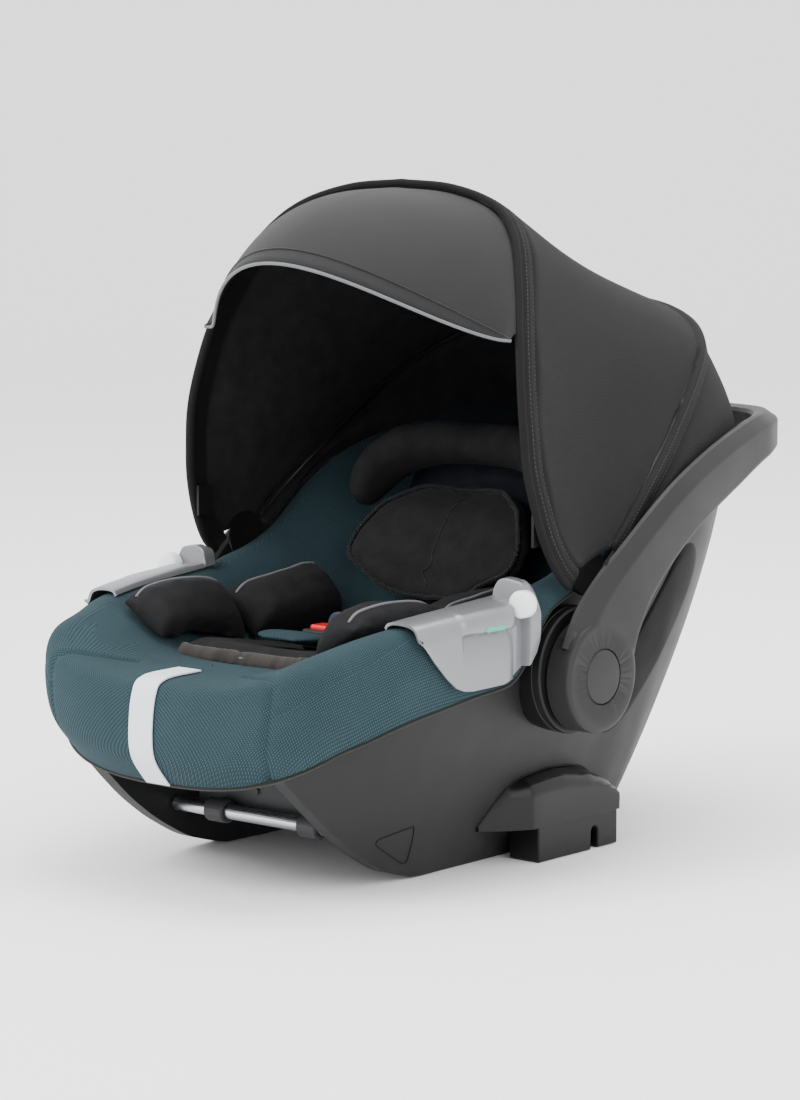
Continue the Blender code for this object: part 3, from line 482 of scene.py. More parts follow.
def plump(pieces, voxel=0.0045, shrink=0.0015, pressure=4.0, cap=0.006, subdivide=1):
    """Turn closed shapes into filled cushions: even mesh, inflated as cloth, capped and smoothed."""
    starts = []
    for piece in pieces:
        remesh = piece.modifiers.new("even", "REMESH")
        remesh.mode = "VOXEL"
        remesh.voxel_size = voxel
        apply_modifiers(piece)
        relax = piece.modifiers.new("relax", "SMOOTH")
        relax.factor = 0.5
        relax.iterations = 6
        apply_modifiers(piece)
        co = coordinates(piece) - vertex_normals(piece) * shrink
        set_coordinates(piece, co)
        starts.append(co)
    for piece in pieces:
        cloth = piece.modifiers.new("fill", "CLOTH")
        cloth.settings.quality = 4
        cloth.settings.mass = 0.2
        cloth.settings.tension_stiffness = 12
        cloth.settings.compression_stiffness = 12
        cloth.settings.shear_stiffness = 6
        cloth.settings.bending_stiffness = 0.4
        cloth.settings.use_pressure = True
        cloth.settings.uniform_pressure_force = pressure
        cloth.settings.effector_weights.gravity = 0.0
        cloth.collision_settings.use_collision = False
        cloth.point_cache.frame_end = CLOTH_STEPS
    for step in range(1, CLOTH_STEPS + 1):
        bpy.context.scene.frame_set(step)
    graph = bpy.context.evaluated_depsgraph_get()
    for piece, start in zip(pieces, starts):
        result = piece.evaluated_get(graph).to_mesh()
        co = np.empty(len(result.vertices) * 3)
        result.vertices.foreach_get("co", co)
        piece.evaluated_get(graph).to_mesh_clear()
        move = co.reshape(-1, 3) - start
        size = np.linalg.norm(move, axis=1, keepdims=True)
        piece.modifiers.clear()
        set_coordinates(piece, start + move * np.minimum(1.0, cap / np.maximum(size, 1e-9)))
    bpy.context.scene.frame_set(1)
    for piece in pieces:
        relax = piece.modifiers.new("relax", "SMOOTH")
        relax.factor = 0.5
        relax.iterations = 3
        if subdivide:
            piece.modifiers.new("fine", "SUBSURF").levels = subdivide
        apply_modifiers(piece)
        shade(piece)


def pressed(grid, normal, line, depth, width):
    """Grid of a soft surface with a seam pressed in along a line."""
    near = np.full(grid.shape[:2], 1e9)
    for a, b in zip(line, line[1:]):
        d = b - a
        t = np.clip(((grid - a) @ d) / (d @ d), 0, 1)
        near = np.minimum(near, np.linalg.norm(grid - a - t[:, :, None] * d, axis=2))
    return grid - normal * (depth * np.exp(-(near / width) ** 2))[:, :, None]


class Skin:
    """Finds points on a piece's surface, in the seat's own frame."""

    def __init__(self, piece):
        mesh = piece.data
        self.tree = BVHTree.FromPolygons([v.co[:] for v in mesh.vertices],
                                         [p.vertices[:] for p in mesh.polygons])

    def near(self, points, lift=0.0):
        """Nearest surface points and their normals."""
        found, normals = [], []
        for p in points:
            spot, normal, _, _ = self.tree.find_nearest(Vector((p[0], p[1] + SHIFT, p[2])))
            spot = spot + normal * lift
            found.append((spot.x, spot.y - SHIFT, spot.z))
            normals.append(normal[:])
        return np.array(found), np.array(normals)

    def hit(self, points, way, lift=0.0):
        """First surface points along a direction, and their normals."""
        found, normals = [], []
        for p in points:
            spot, normal, _, _ = self.tree.ray_cast(Vector((p[0], p[1] + SHIFT, p[2])), Vector(way))
            if spot is not None:
                spot = spot + normal * lift
                found.append((spot.x, spot.y - SHIFT, spot.z))
                normals.append(normal[:])
        return np.array(found), np.array(normals)


def place(piece, body, slot, *nodes):
    """Ride on a body, take a finish slot and stand for CAD nodes."""
    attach(piece, body)
    if nodes:
        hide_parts(*nodes)
    return piece


# ---------------------------------------------------------------- finishes

def linear(colour):
    """sRGB hex to the linear colour that shaders use."""
    parts = [int(colour[i:i + 2], 16) / 255 for i in (1, 3, 5)]
    return tuple(p / 12.92 if p <= 0.04045 else ((p + 0.055) / 1.055) ** 2.4 for p in parts) + (1.0,)


def add_node(tree, kind, inputs=None, **settings):
    """Add a shader node; an input is a value or another node's socket."""
    node = tree.nodes.new("ShaderNode" + kind)
    for key, value in settings.items():
        setattr(node, key, value)
    for key, value in (inputs or {}).items():
        if isinstance(value, bpy.types.NodeSocket):
            tree.links.new(value, node.inputs[key])
        else:
            node.inputs[key].default_value = value
    return node


def blank_finish(name, **sockets):
    """A material with its surface shader; constant values sit on the shader's own sockets."""
    finish = bpy.data.materials.new(name)
    finish.use_nodes = True
    tree = finish.node_tree
    tree.nodes.clear()
    surface = add_node(tree, "BsdfPrincipled", {key.replace("_", " "): value for key,
                                                value in sockets.items()})
    add_node(tree, "OutputMaterial", {"Surface": surface.outputs["BSDF"]})
    return finish, tree, surface


def colour_mix(tree, factor, dark, light):
    mix = tree.nodes.new("ShaderNodeMix")
    mix.data_type = "RGBA"
    tree.links.new(factor, mix.inputs[0])
    for socket, value in ((mix.inputs[6], dark), (mix.inputs[7], light)):
        if isinstance(value, bpy.types.NodeSocket):
            tree.links.new(value, socket)
        else:
            socket.default_value = value
    return mix.outputs[2]


def scaled(colour, factor):
    return tuple(min(c * factor, 1.0) for c in colour[:3]) + (1.0,)


def object_place(tree):
    return add_node(tree, "TexCoord").outputs["Object"]


def noise(tree, place_socket, scale, detail=3.0, roughness=0.55):
    return add_node(tree, "TexNoise", {"Vector": place_socket, "Scale": scale, "Detail": detail,
                                       "Roughness": roughness}).outputs["Fac"]


def ramp(tree, factor, low, high):
    return add_node(tree, "MapRange", {"Value": factor, "From Min": low, "From Max": high},
                    clamp=True).outputs["Result"]


def maths(tree, operation, a, b=None):
    node = tree.nodes.new("ShaderNodeMath")
    node.operation = operation
    for socket, value in zip(node.inputs, (a, b)):
        if isinstance(value, bpy.types.NodeSocket):
            tree.links.new(value, socket)
        elif value is not None:
            socket.default_value = value
    return node.outputs[0]


def cloth_plane(tree):
    """Two lengths along the cloth that stay smooth over its folds."""
    spot = add_node(tree, "SeparateXYZ")
    tree.links.new(object_place(tree), spot.inputs[0])
    facing = add_node(tree, "SeparateXYZ")
    tree.links.new(add_node(tree, "TexCoord").outputs["Normal"], facing.inputs[0])
    x, y, z = (spot.outputs[k] for k in range(3))
    side = maths(tree, "SIGN", x)
    outward = maths(tree, "SIGN", maths(tree, "ADD", maths(tree, "MULTIPLY", facing.outputs[0], side), 0.35))
    a = maths(tree, "SUBTRACT", maths(tree, "MULTIPLY", maths(tree, "MULTIPLY", side, outward), x), z)
    return a, maths(tree, "ADD", z, y)


def waves(tree, coordinate, pitch):
    """Ridges of one pitch in metres, from 0 to 1."""
    turn = maths(tree, "MULTIPLY", coordinate, 2 * math.pi / pitch)
    return maths(tree, "ADD", maths(tree, "MULTIPLY", maths(tree, "SINE", turn), 0.5), 0.5)


def bump(tree, surface, height, distance, strength=1.0):
    node = add_node(tree, "Bump", {"Height": height, "Distance": distance, "Strength": strength})
    tree.links.new(node.outputs["Normal"], surface.inputs["Normal"])
    return node


def moulded_plastic(name, colour, rough, grain=0.0009, depth=0.00006, coat=0.0, specular=0.22):
    """ABS moulded in a spark-eroded tool: a fine even grain that breaks up its highlights."""
    finish, tree, surface = blank_finish(name, Roughness=rough, IOR=1.54)
    surface.inputs["Specular IOR Level"].default_value = specular
    spot = object_place(tree)
    cloudy = noise(tree, spot, 9.0)
    colour_socket = colour_mix(tree, ramp(tree, cloudy, 0.3, 0.7), scaled(colour, 0.93), scaled(colour, 1.07))
    tree.links.new(colour_socket, surface.inputs["Base Color"])
    fine = noise(tree, spot, 1.0 / grain, 2.0)
    rub = ramp(tree, noise(tree, spot, 26.0, 4.0), 0.35, 0.75)
    tree.links.new(maths(tree, "ADD", maths(tree, "MULTIPLY", rub, 0.08), rough - 0.04),
                   surface.inputs["Roughness"])
    bump(tree, surface, fine, depth)
    if coat:
        surface.inputs["Coat Weight"].default_value = coat
        surface.inputs["Coat Roughness"].default_value = 0.25
    return finish


def spacer_knit(name, colour):
    """Polyester spacer knit: rows of small pale loops over a darker ground, soft sheen."""
    finish, tree, surface = blank_finish(name, Roughness=0.88, IOR=1.5)
    surface.inputs["Specular IOR Level"].default_value = 0.12
    a, b = cloth_plane(tree)
    # Such a knit has loops about 1.3 mm apart; they are drawn 2.2 mm apart so that they show.
    pitch = 0.0022
    rows = waves(tree, a, pitch)
    lines = waves(tree, maths(tree, "ADD", b, maths(tree, "MULTIPLY", a, 0.5)), pitch)
    loops = maths(tree, "MULTIPLY", rows, lines)
    spot = object_place(tree)
    cloudy = ramp(tree, noise(tree, spot, 14.0), 0.3, 0.7)
    ground = colour_mix(tree, cloudy, scaled(colour, 0.55), scaled(colour, 0.68))
    tip = colour_mix(tree, cloudy, scaled(colour, 1.35), scaled(colour, 1.6))
    tree.links.new(colour_mix(tree, ramp(tree, loops, 0.12, 0.75), ground, tip), surface.inputs["Base Color"])
    surface.inputs["Sheen Weight"].default_value = 0.06
    surface.inputs["Sheen Roughness"].default_value = 0.45
    surface.inputs["Sheen Tint"].default_value = linear("#9fb6c0")
    bump(tree, surface, loops, 0.0003)
    return finish


def woven_cloth(name, colour, pitch=0.0014, sheen=0.04, rough=0.82, depth=0.00025, tint="#8a8a8a"):
    """Plain-woven polyester: crossing threads and a faint cloudy shade, satin on taut curves."""
    finish, tree, surface = blank_finish(name, Roughness=rough, IOR=1.5)
    surface.inputs["Specular IOR Level"].default_value = 0.12
    a, b = cloth_plane(tree)
    # Threads of such a cloth are about 0.4 mm apart; they are drawn wider so that they show.
    weave = maths(tree, "MAXIMUM", waves(tree, a, pitch), waves(tree, b, pitch))
    spot = object_place(tree)
    cloudy = ramp(tree, noise(tree, spot, 22.0, 5.0), 0.25, 0.75)
    dark = colour_mix(tree, cloudy, scaled(colour, 0.80), scaled(colour, 0.90))
    pale = colour_mix(tree, cloudy, scaled(colour, 1.02), scaled(colour, 1.16))
    tree.links.new(colour_mix(tree, weave, dark, pale), surface.inputs["Base Color"])
    surface.inputs["Sheen Weight"].default_value = sheen
    surface.inputs["Sheen Roughness"].default_value = 0.5
    surface.inputs["Sheen Tint"].default_value = linear(tint)
    bump(tree, surface, weave, depth)
    return finish


def brushed_jersey(name, colour, sheen=0.06):
    """Fine knitted jersey: a soft heathered face with fibres that catch light at its edges."""
    finish, tree, surface = blank_finish(name, Roughness=0.92, IOR=1.5)
    surface.inputs["Specular IOR Level"].default_value = 0.10
    spot = object_place(tree)
    fibres = noise(tree, spot, 1100.0, 2.0)
    cloudy = noise(tree, spot, 60.0, 4.0)
    both = maths(tree, "MULTIPLY", maths(tree, "ADD", fibres, cloudy), 0.5)
    tree.links.new(colour_mix(tree, ramp(tree, both, 0.35, 0.65), scaled(colour, 0.75), scaled(colour, 1.3)),
                   surface.inputs["Base Color"])
    surface.inputs["Sheen Weight"].default_value = sheen
    surface.inputs["Sheen Roughness"].default_value = 0.4
    surface.inputs["Sheen Tint"].default_value = linear("#8c8c8e")
    bump(tree, surface, fibres, 0.0002)
    return finish


def webbing(name, colour, contrast=0.10):
    """Woven polyester webbing: fine cross ribs and soft lengthwise warp lines."""
    finish, tree, surface = blank_finish(name, Roughness=0.55, IOR=1.5)
    coord = add_node(tree, "TexCoord")
    spot = add_node(tree, "SeparateXYZ", {"Vector": coord.outputs["Object"]})
    along = maths(tree, "SUBTRACT", spot.outputs[2], spot.outputs[1])
    # Cross ribs every 1.2 mm and warp ends every 1.5 mm, as on car-seat webbing.
    ribs = waves(tree, along, 0.0012)
    warp = waves(tree, spot.outputs[0], 0.0015)
    both = maths(tree, "MULTIPLY", maths(tree, "ADD", ribs, warp), 0.5)
    tree.links.new(colour_mix(tree, both, scaled(colour, 1 - contrast), colour), surface.inputs["Base Color"])
    surface.inputs["Sheen Weight"].default_value = 0.2
    bump(tree, surface, both, 0.0003)
    return finish


def thread(name, colour, rough=0.6):
    """Twisted polyester sewing thread or piping cover: slight satin with a fine twist."""
    finish, tree, surface = blank_finish(name, Roughness=rough, IOR=1.5)
    surface.inputs["Specular IOR Level"].default_value = 0.12
    spot = object_place(tree)
    twist = noise(tree, spot, 900.0, 2.0)
    tree.links.new(colour_mix(tree, ramp(tree, twist, 0.3, 0.7), scaled(colour, 0.85), scaled(colour, 1.1)),
                   surface.inputs["Base Color"])
    surface.inputs["Sheen Weight"].default_value = 0.15
    bump(tree, surface, twist, 0.0002)
    return finish


def metallic_paint(name, colour):
    """Silver lacquer with fine aluminium flake on moulded ABS: satin, with a soft sparkle."""
    finish, tree, surface = blank_finish(name, Roughness=0.36, Metallic=0.45, IOR=1.5)
    spot = object_place(tree)
    flake = noise(tree, spot, 1600.0, 1.0)
    flow = noise(tree, spot, 18.0, 3.0)
    tree.links.new(colour_mix(tree, ramp(tree, flake, 0.35, 0.65), scaled(colour, 0.93),
                              scaled(colour, 1.05)),
                   surface.inputs["Base Color"])
    tree.links.new(maths(tree, "ADD", maths(tree, "MULTIPLY", flow, 0.10), 0.31), surface.inputs["Roughness"])
    surface.inputs["Coat Weight"].default_value = 0.25
    surface.inputs["Coat Roughness"].default_value = 0.2
    bump(tree, surface, flake, 0.00003)
    return finish


def drawn_steel(name, colour, rough=0.28):
    """Satin-plated steel: fine drawing lines along the tube stretch its highlight."""
    finish, tree, surface = blank_finish(name, Roughness=rough, Metallic=1.0)
    coord = add_node(tree, "TexCoord")
    stretched = add_node(tree, "Mapping", {"Vector": coord.outputs["Object"], "Scale": (12.0, 900.0, 900.0)})
    lines = noise(tree, stretched.outputs["Vector"], 1.0, 2.0)
    tree.links.new(colour_mix(tree, lines, scaled(colour, 0.9), scaled(colour, 1.0)),
                   surface.inputs["Base Color"])
    tree.links.new(maths(tree, "ADD", maths(tree, "MULTIPLY", lines, 0.12), rough - 0.06),
                   surface.inputs["Roughness"])
    bump(tree, surface, lines, 0.00004)
    return finish


def moulded_foam(name, colour):
    """Moulded EPS: fused beads about 4 mm across with fine dark lines between them."""
    finish, tree, surface = blank_finish(name, Roughness=0.8, IOR=1.3)
    beads = add_node(tree, "TexVoronoi", {"Vector": object_place(tree), "Scale": 250.0},
                     feature="DISTANCE_TO_EDGE").outputs["Distance"]
    walls = ramp(tree, beads, 0.0, 0.12)
    tree.links.new(colour_mix(tree, walls, scaled(colour, 0.7), colour), surface.inputs["Base Color"])
    bump(tree, surface, walls, 0.0004)
    return finish


def build_finishes(colours):
    """Every finish of the seat, by its part's plain name."""
    shade_of = {key: tuple(getattr(colours, key)) + (1.0,) for key in COLOUR_TEXT}
    return {
        "shell": moulded_plastic("shell_grained_abs", shade_of["shell"], 0.52),
        "handle": moulded_plastic("handle_grained_nylon", shade_of["handle"], 0.48),
        "hub": moulded_plastic("hub_grained_abs", shade_of["hub"], 0.50),
        "block": moulded_plastic("block_polished_nylon", shade_of["block"], 0.34, 0.0012, 0.00003),
        # Black finish for the tubes along joint lines; it is painted shade standing in for the shadow inside the gaps
        # between parts.
        "gap": moulded_plastic("joint_line_rubber", linear("#0c0c0c"), 0.8),
        "hoop": moulded_plastic("hoop_grained_nylon", linear("#101010"), 0.55),
        "board": brushed_jersey("board_navy_jersey", shade_of["board"]),
        "film": moulded_plastic("label_blank_film", linear("#020202"), 0.45, 0.002, 0.00001, specular=0.04),
        "silver": metallic_paint("guide_silver_lacquer", shade_of["guide"]),
        "white": moulded_plastic("disc_white_acetal", linear("#e9eaee"), 0.3, 0.002, 0.00002),
        "mark": moulded_plastic("mark_green_elastomer", shade_of["mark"], 0.45, 0.0015, 0.00002),
        "steel": drawn_steel("tube_satin_steel", linear("#d6d7da")),
        "latch": drawn_steel("latch_zinc_steel", linear("#b9b6ae"), 0.4),
        "clamp": moulded_plastic("clamp_grey_acetal", linear("#3c3c3e"), 0.42),
        "bracket": moulded_plastic("bracket_grey_nylon", linear("#38393b"), 0.5),
        "buckle": moulded_plastic("buckle_black_nylon", linear("#161618"), 0.42),
        "button": moulded_plastic("button_red_abs", shade_of["button"], 0.33, 0.002, 0.00002, coat=0.4),
        "knit": spacer_knit("cover_spacer_knit", shade_of["knit"]),
        "canvas": woven_cloth("canopy_woven_polyester", shade_of["canopy"]),
        "band": woven_cloth("canopy_band_polyester", scaled(shade_of["canopy"], 0.62)),
        "inner_grey": moulded_plastic("guide_inner_abs", linear("#2a2a2b"), 0.6),
        "satin": woven_cloth("visor_satin_weave", shade_of["visor"], 0.0011, 0.08, 0.62, 0.00012, "#b8b8b8"),
        "lining": brushed_jersey("canopy_brushed_lining", linear("#222223"), 0.02),
        "jersey": brushed_jersey("insert_brushed_jersey", shade_of["insert"]),
        "binding": thread("insert_grey_binding", linear("#35322f"), 0.7),
        "piping": thread("grey_satin_piping", linear("#66676a"), 0.6),
        "dark_piping": thread("charcoal_piping", linear("#1e1e1f"), 0.6),
        "rope": thread("headrest_twisted_cord", linear("#0c0c0d"), 0.45),
        "stitch": thread("charcoal_stitch", linear("#333333")),
        "knit_stitch": thread("petrol_stitch", linear("#2f4450")),
        "hem": thread("cover_olive_binding", linear("#1d1f1b"), 0.75),
        "strap": webbing("strap_white_webbing", shade_of["strap"]),
        "navy": webbing("tongue_navy_webbing", linear("#1a2740"), 0.25),
        "foam": moulded_foam("liner_moulded_eps", linear("#3a3a3c")),
    }


# ---------------------------------------------------------------- sizes and colours

COLOUR_TEXT = {
    "knit": ("Cover knit", "Petrol spacer knit of the cover", "#2c3e44"),
    "canopy": ("Canopy cloth", "Woven cloth over the hoops", "#1f1f1f"),
    "visor": ("Visor cloth", "Lighter satin cloth of the sun visor", "#262626"),
    "insert": ("Insert jersey", "Newborn insert and headrest jersey", "#1f1f20"),
    "shell": ("Shell plastic", "Moulded seat shell", "#1a1a1b"),
    "handle": ("Handle plastic", "Carry handle", "#202020"),
    "hub": ("Hub plastic", "Fixed discs behind the handle", "#0e0e0e"),
    "block": ("Adapter plastic", "Side blocks that drop onto a chassis", "#0f0f10"),
    "board": ("Headrest board", "Cloth of the headrest's back board", "#1a1b22"),
    "guide": ("Belt guide", "Silver lacquer of the belt guides", "#7c7e81"),
    "mark": ("Guide mark", "Soft bar on each belt guide", "#4da38f"),
    "strap": ("Adjuster strap", "Webbing over the foot end", "#dfe5ee"),
    "button": ("Buckle button", "Button of the harness buckle", "#d1201f"),
}


def colour_property(key):
    label, text, value = COLOUR_TEXT[key]
    return bpy.props.FloatVectorProperty(name=label, description=text, subtype="COLOR", size=3, min=0.0,
                                         max=1.0,
                                         default=linear(value)[:3])


class SeatColours(bpy.types.PropertyGroup):
    """Colours of the cloths, plastics and small parts."""
    __annotations__ = {key: colour_property(key) for key in COLOUR_TEXT}


class SeatSizes(bpy.types.PropertyGroup):
    """Sizes of the sewn and moulded details."""
    piping: bpy.props.FloatProperty(name="Piping radius", description="Radius of the piping cords",
                                    default=0.0014, min=0.0005, max=0.004, unit="LENGTH")
    stitch: bpy.props.FloatProperty(name="Stitch pitch", description="Distance from one stitch to the next",
                                    default=0.0036, min=0.002, max=0.008, unit="LENGTH")
    band: bpy.props.FloatProperty(name="Canopy band",
                                  description="Width of the hemmed band along the front hoop",
                                  default=BAND_WIDTH, min=0.010, max=0.030, unit="LENGTH")
    sag: bpy.props.FloatProperty(name="Canopy sag", description="How far the cloth dips between its hoops",
                                 default=0.009, min=0.0, max=0.02, unit="LENGTH")
    quilt: bpy.props.FloatProperty(name="Seam depth", description="How deep the cover's seams pull in",
                                   default=0.0032, min=0.0, max=0.006, unit="LENGTH")
    strap: bpy.props.FloatProperty(name="Strap width", description="Width of the adjuster strap",
                                   default=0.025, min=0.015, max=0.04, unit="LENGTH")


FINISHES = {}


def finishes():
    """The finishes, made once for all the operators."""
    if not FINISHES:
        FINISHES.update(build_finishes(bpy.context.scene.seat_colours))
    return FINISHES


def sizes():
    return bpy.context.scene.seat_sizes


# ---------------------------------------------------------------- shell and side hardware

def shell_ring(y):
    """Section of the shell: channel, skid, outer side, rim and inner side."""
    low, rim, roof, foot = at(SKID_Z_AT, y), at(RIM_Z_AT, y), at(CHANNEL_Z_AT, y), at(SKID_HALF_AT, y)
    floor = roof + 0.008 if -0.276 < y < 0.284 else rim - 0.0015
    outer = [(side_x(y, z), z) for z in low + np.linspace(0, 1, 26) ** 1.3 * (rim - low)]
    inner = [(side_x(y, z) - WALL, z) for z in np.linspace(rim, floor, 10)]
    half = [(0.0, roof), (foot - SKID_WALL, roof), (foot - SKID_WALL, low)] + outer + inner + [(0.0, floor)]
    left = [(-x, z) for x, z in reversed(half[1:-1])]
    return [(x, y, z) for x, z in half + left]


def make_shell():
    stations = np.concatenate([[-0.285], np.linspace(-0.2765, 0.2835, 90), [0.2845, 0.295, 0.306]])
    shell = loft("shell", [shell_ring(y) for y in stations], finishes()["shell"], sharp=38)
    soften_edges(shell, 0.0012)
    return place(shell, "seat", "shell_plastic", "seat_shell")


def on_side(sign, outline, lift):
    """Closed outline in y, z laid on the outside of the shell."""
    return np.array([(sign * (side_x(y, z) + lift), y, z) for y, z in outline])


def make_cap(sign, tag):
    """Triangular cap let into the side wall, with its joint line."""
    outline = resample([(-0.180, 0.041), (-0.176, 0.0428), (-0.152, 0.0478), (-0.1455, 0.0462),
                        (-0.1385, 0.020),
                        (-0.140, 0.0165), (-0.1455, 0.0172), (-0.177, 0.0355)], 56, closed=True)
    line = tube("cap_line_" + tag, on_side(sign, outline, 0.0001), 0.0006, finishes()["gap"], 6, closed=True,
                up=(sign, 0.0, 0.0))
    place(line, "seat", "shell_plastic", "wall_cap_" + tag)


def make_pivot_base(sign, tag):
    centre = (AXLE_Y, AXLE_Z + 0.003)
    profile = [(sign * x, r) for x, r in ((0.150, 0.0475), (0.170, 0.0511), (0.1835, 0.0520),
                                          (0.1842, 0.0512),
                                          (0.1850, 0.0512), (0.1857, 0.0520), (0.1908,
                                                                               0.0518), (0.1922, 0.0503),
                                          (0.1925, 0.0365), (0.1925, 0.001))]
    base = lathe_x("hub_base_" + tag, profile, centre, finishes()["hub"])
    place(base, "seat", "hub_black", "pivot_base_" + tag)


def make_block(sign, tag):
    """Adapter block: a hood that flares from the wall over a straight-sided foot."""
    rings = []
    for y in np.concatenate([np.linspace(-0.0615, -0.022, 18), np.linspace(-0.016, 0.088, 20),
                             np.linspace(0.090, 0.0965, 6)]):
        top = np.interp(y, [-0.062, -0.058, -0.050, -0.040, -0.024, -0.004, 0.018, 0.056, 0.080, 0.094,
                            0.097],
                        [0.0340, 0.0415, 0.054, 0.065, 0.0715, 0.0735, 0.074, 0.0695, 0.0615, 0.050, 0.036])
        low = 0.0300
        wall_low, wall_top = side_x(y, low), side_x(y, top)
        reach = np.interp(y, [-0.062, -0.048, -0.0256, -0.020, 0.092, 0.095, 0.097],
                          [wall_low + 0.001, 0.1430, 0.1580, 0.1585, 0.1585, 0.1565, 0.1520])
        reach = max(reach, wall_top + 0.0012)
        high = min((top - low) / 0.045, 1.0)
        span = reach - wall_top - 0.0004
        line = resample([(wall_top + 0.0004, y, top), (wall_top + 0.0004 + 0.72 * span, y,
                                                       top - 0.006 * high),
                         (reach - 0.14 * span, y, top - 0.010 * high), (reach, y, top - 0.016 * high),
                         (reach, y, low + 0.003)], 13)
        ring = [(wall_low - 0.004, y, low), (wall_top - 0.004, y, top), *line, (reach, y, low)]
        rings.append([(sign * p[0], p[1], p[2]) for p in ring])
    hood = loft("adapter_hood_" + tag, rings, finishes()["block"], sharp=32)
    x_in = side_x(-0.02, 0.032) - 0.004
    foot = block((min(sign * x_in, sign * 0.1545), -0.0125, 0.0), (max(sign * x_in, sign * 0.1545), 0.0945,
                                                                   0.0305),
                 finishes()["block"])
    tidy_normals(foot)
    slot = []
    for x in (0.120, 0.170):
        arch = [(0.0675, -0.01), (0.0675, 0.0145)] + [(0.063 + 0.0045 * math.cos(t),
                                                       0.0145 + 0.0045 * math.sin(t))
                                                      for t in np.linspace(0.2, math.pi - 0.2, 9)]
        slot.append([(sign * x, y, z) for y, z in arch + [(0.0585, 0.0145), (0.0585, -0.01)]])
    cut(foot, loft("slot", slot, finishes()["block"]))
    pocket = block((min(sign * 0.1385, sign * 0.1505), 0.003, -0.003),
                   (max(sign * 0.1385, sign * 0.1505), 0.037, 0.019), finishes()["block"])
    tidy_normals(pocket)
    cut(foot, pocket)
    soften_edges(foot, 0.0016, 3)
    soften_edges(hood, 0.0008, 2, 30)
    # A black tube along the hood's edge on the wall is painted shade standing in for the shadow in that joint.
    edge = [(sign * (side_x(y, z) + 0.0002), y, z) for y, z in resample(
        [(-0.0625, 0.0325), (-0.058, 0.0420), (-0.050, 0.0545), (-0.040, 0.0655), (-0.024, 0.0720),
         (-0.004, 0.0740),
         (0.018, 0.0745), (0.056, 0.0700), (0.080, 0.0620), (0.094, 0.0505), (0.0975, 0.034)], 60)]
    line = tube("adapter_line_" + tag, edge, 0.0007, finishes()["gap"], 6, up=(sign, 0, 0))
    piece = join([hood, foot, line])
    piece.name = "adapter_" + tag
    place(piece, "seat", "block_black", "adapter_block_" + tag)


def make_label(sign, tag):
    """Blank dark film on the side wall, with rounded corners."""
    outline = resample([(0.180, 0.250), (0.195, 0.242), (0.203, 0.226), (0.193, 0.200), (0.170, 0.162),
                        (0.140, 0.122), (0.122, 0.104), (0.102, 0.092), (0.084, 0.092), (0.074, 0.104),
                        (0.074, 0.130), (0.100, 0.170), (0.135, 0.215), (0.160, 0.244)], 72, closed=True)
    middle = outline.mean(axis=0)
    points = []
    rows, count = 9, len(outline)
    for k in range(rows):
        ring = middle + (outline - middle) * (1 - k / rows)
        points += [(sign * (side_x(y, z) + (0.0012 if k else -0.0004)), y, z) for y, z in ring]
    points.append((sign * (side_x(*middle) + 0.0012), *middle))
    last = (rows - 1) * count
    faces = ring_faces(rows, count)
    faces += [(last + j, last + (j + 1) % count, rows * count) for j in range(count)]
    piece = make_piece("label_" + tag, points, faces, finishes()["film"])
    tidy_normals(piece)
    shade(piece)
    place(piece, "seat", "label_black", "label_panel_" + tag)


def make_side_hardware():
    for sign, tag in SIDES:
        make_cap(sign, tag)
        make_pivot_base(sign, tag)
        make_block(sign, tag)
        make_label(sign, tag)
        paint("adapter_latch_" + tag, "latch")


def paint(node, finish):
    """Give a carried-over CAD node its finish and smooth shading by angle."""
    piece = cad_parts[node]
    piece.data.materials.clear()
    piece.data.materials.append(finishes()[finish])
    piece.data.polygons.foreach_set("material_index", [0] * len(piece.data.polygons))
    piece.data.update()
    return piece


# ---------------------------------------------------------------- belt guides

def guide_section(y, low):
    """Section of a belt guide over the rim, from inside to its lower edge."""
    rim, w = at(RIM_Z_AT, y), at(RIM_HALF_AT, y)
    ear = np.clip((y + 0.0785) / 0.0006, 0, 1)
    dip = 1 - math.sqrt(1 - float(np.clip((y + 0.100) / 0.0098, 0, 1)) ** 2)
    dip = dip * (1 - ear)
    rounded = 0.003 * np.clip((y + 0.070) / 0.004, 0, 1)
    top = rim + 0.0175 - 0.0028 * dip + 0.0115 * ear - rounded
    x_out = w + 0.0170 - 0.0045 * dip + 0.0040 * ear
    return [(w - 0.019, rim + 0.0118), (w - 0.016, rim + 0.0155 + 0.008 * ear), (w - 0.009, top - 0.0004),
            (w + 0.003, top - 0.0010), (w + 0.0115, top - 0.0045), (x_out - 0.0008, rim + 0.0045),
            (x_out, (rim + low) / 2 + 0.004), (x_out, (rim + 2 * low) / 3), (x_out - 0.0006, low)]


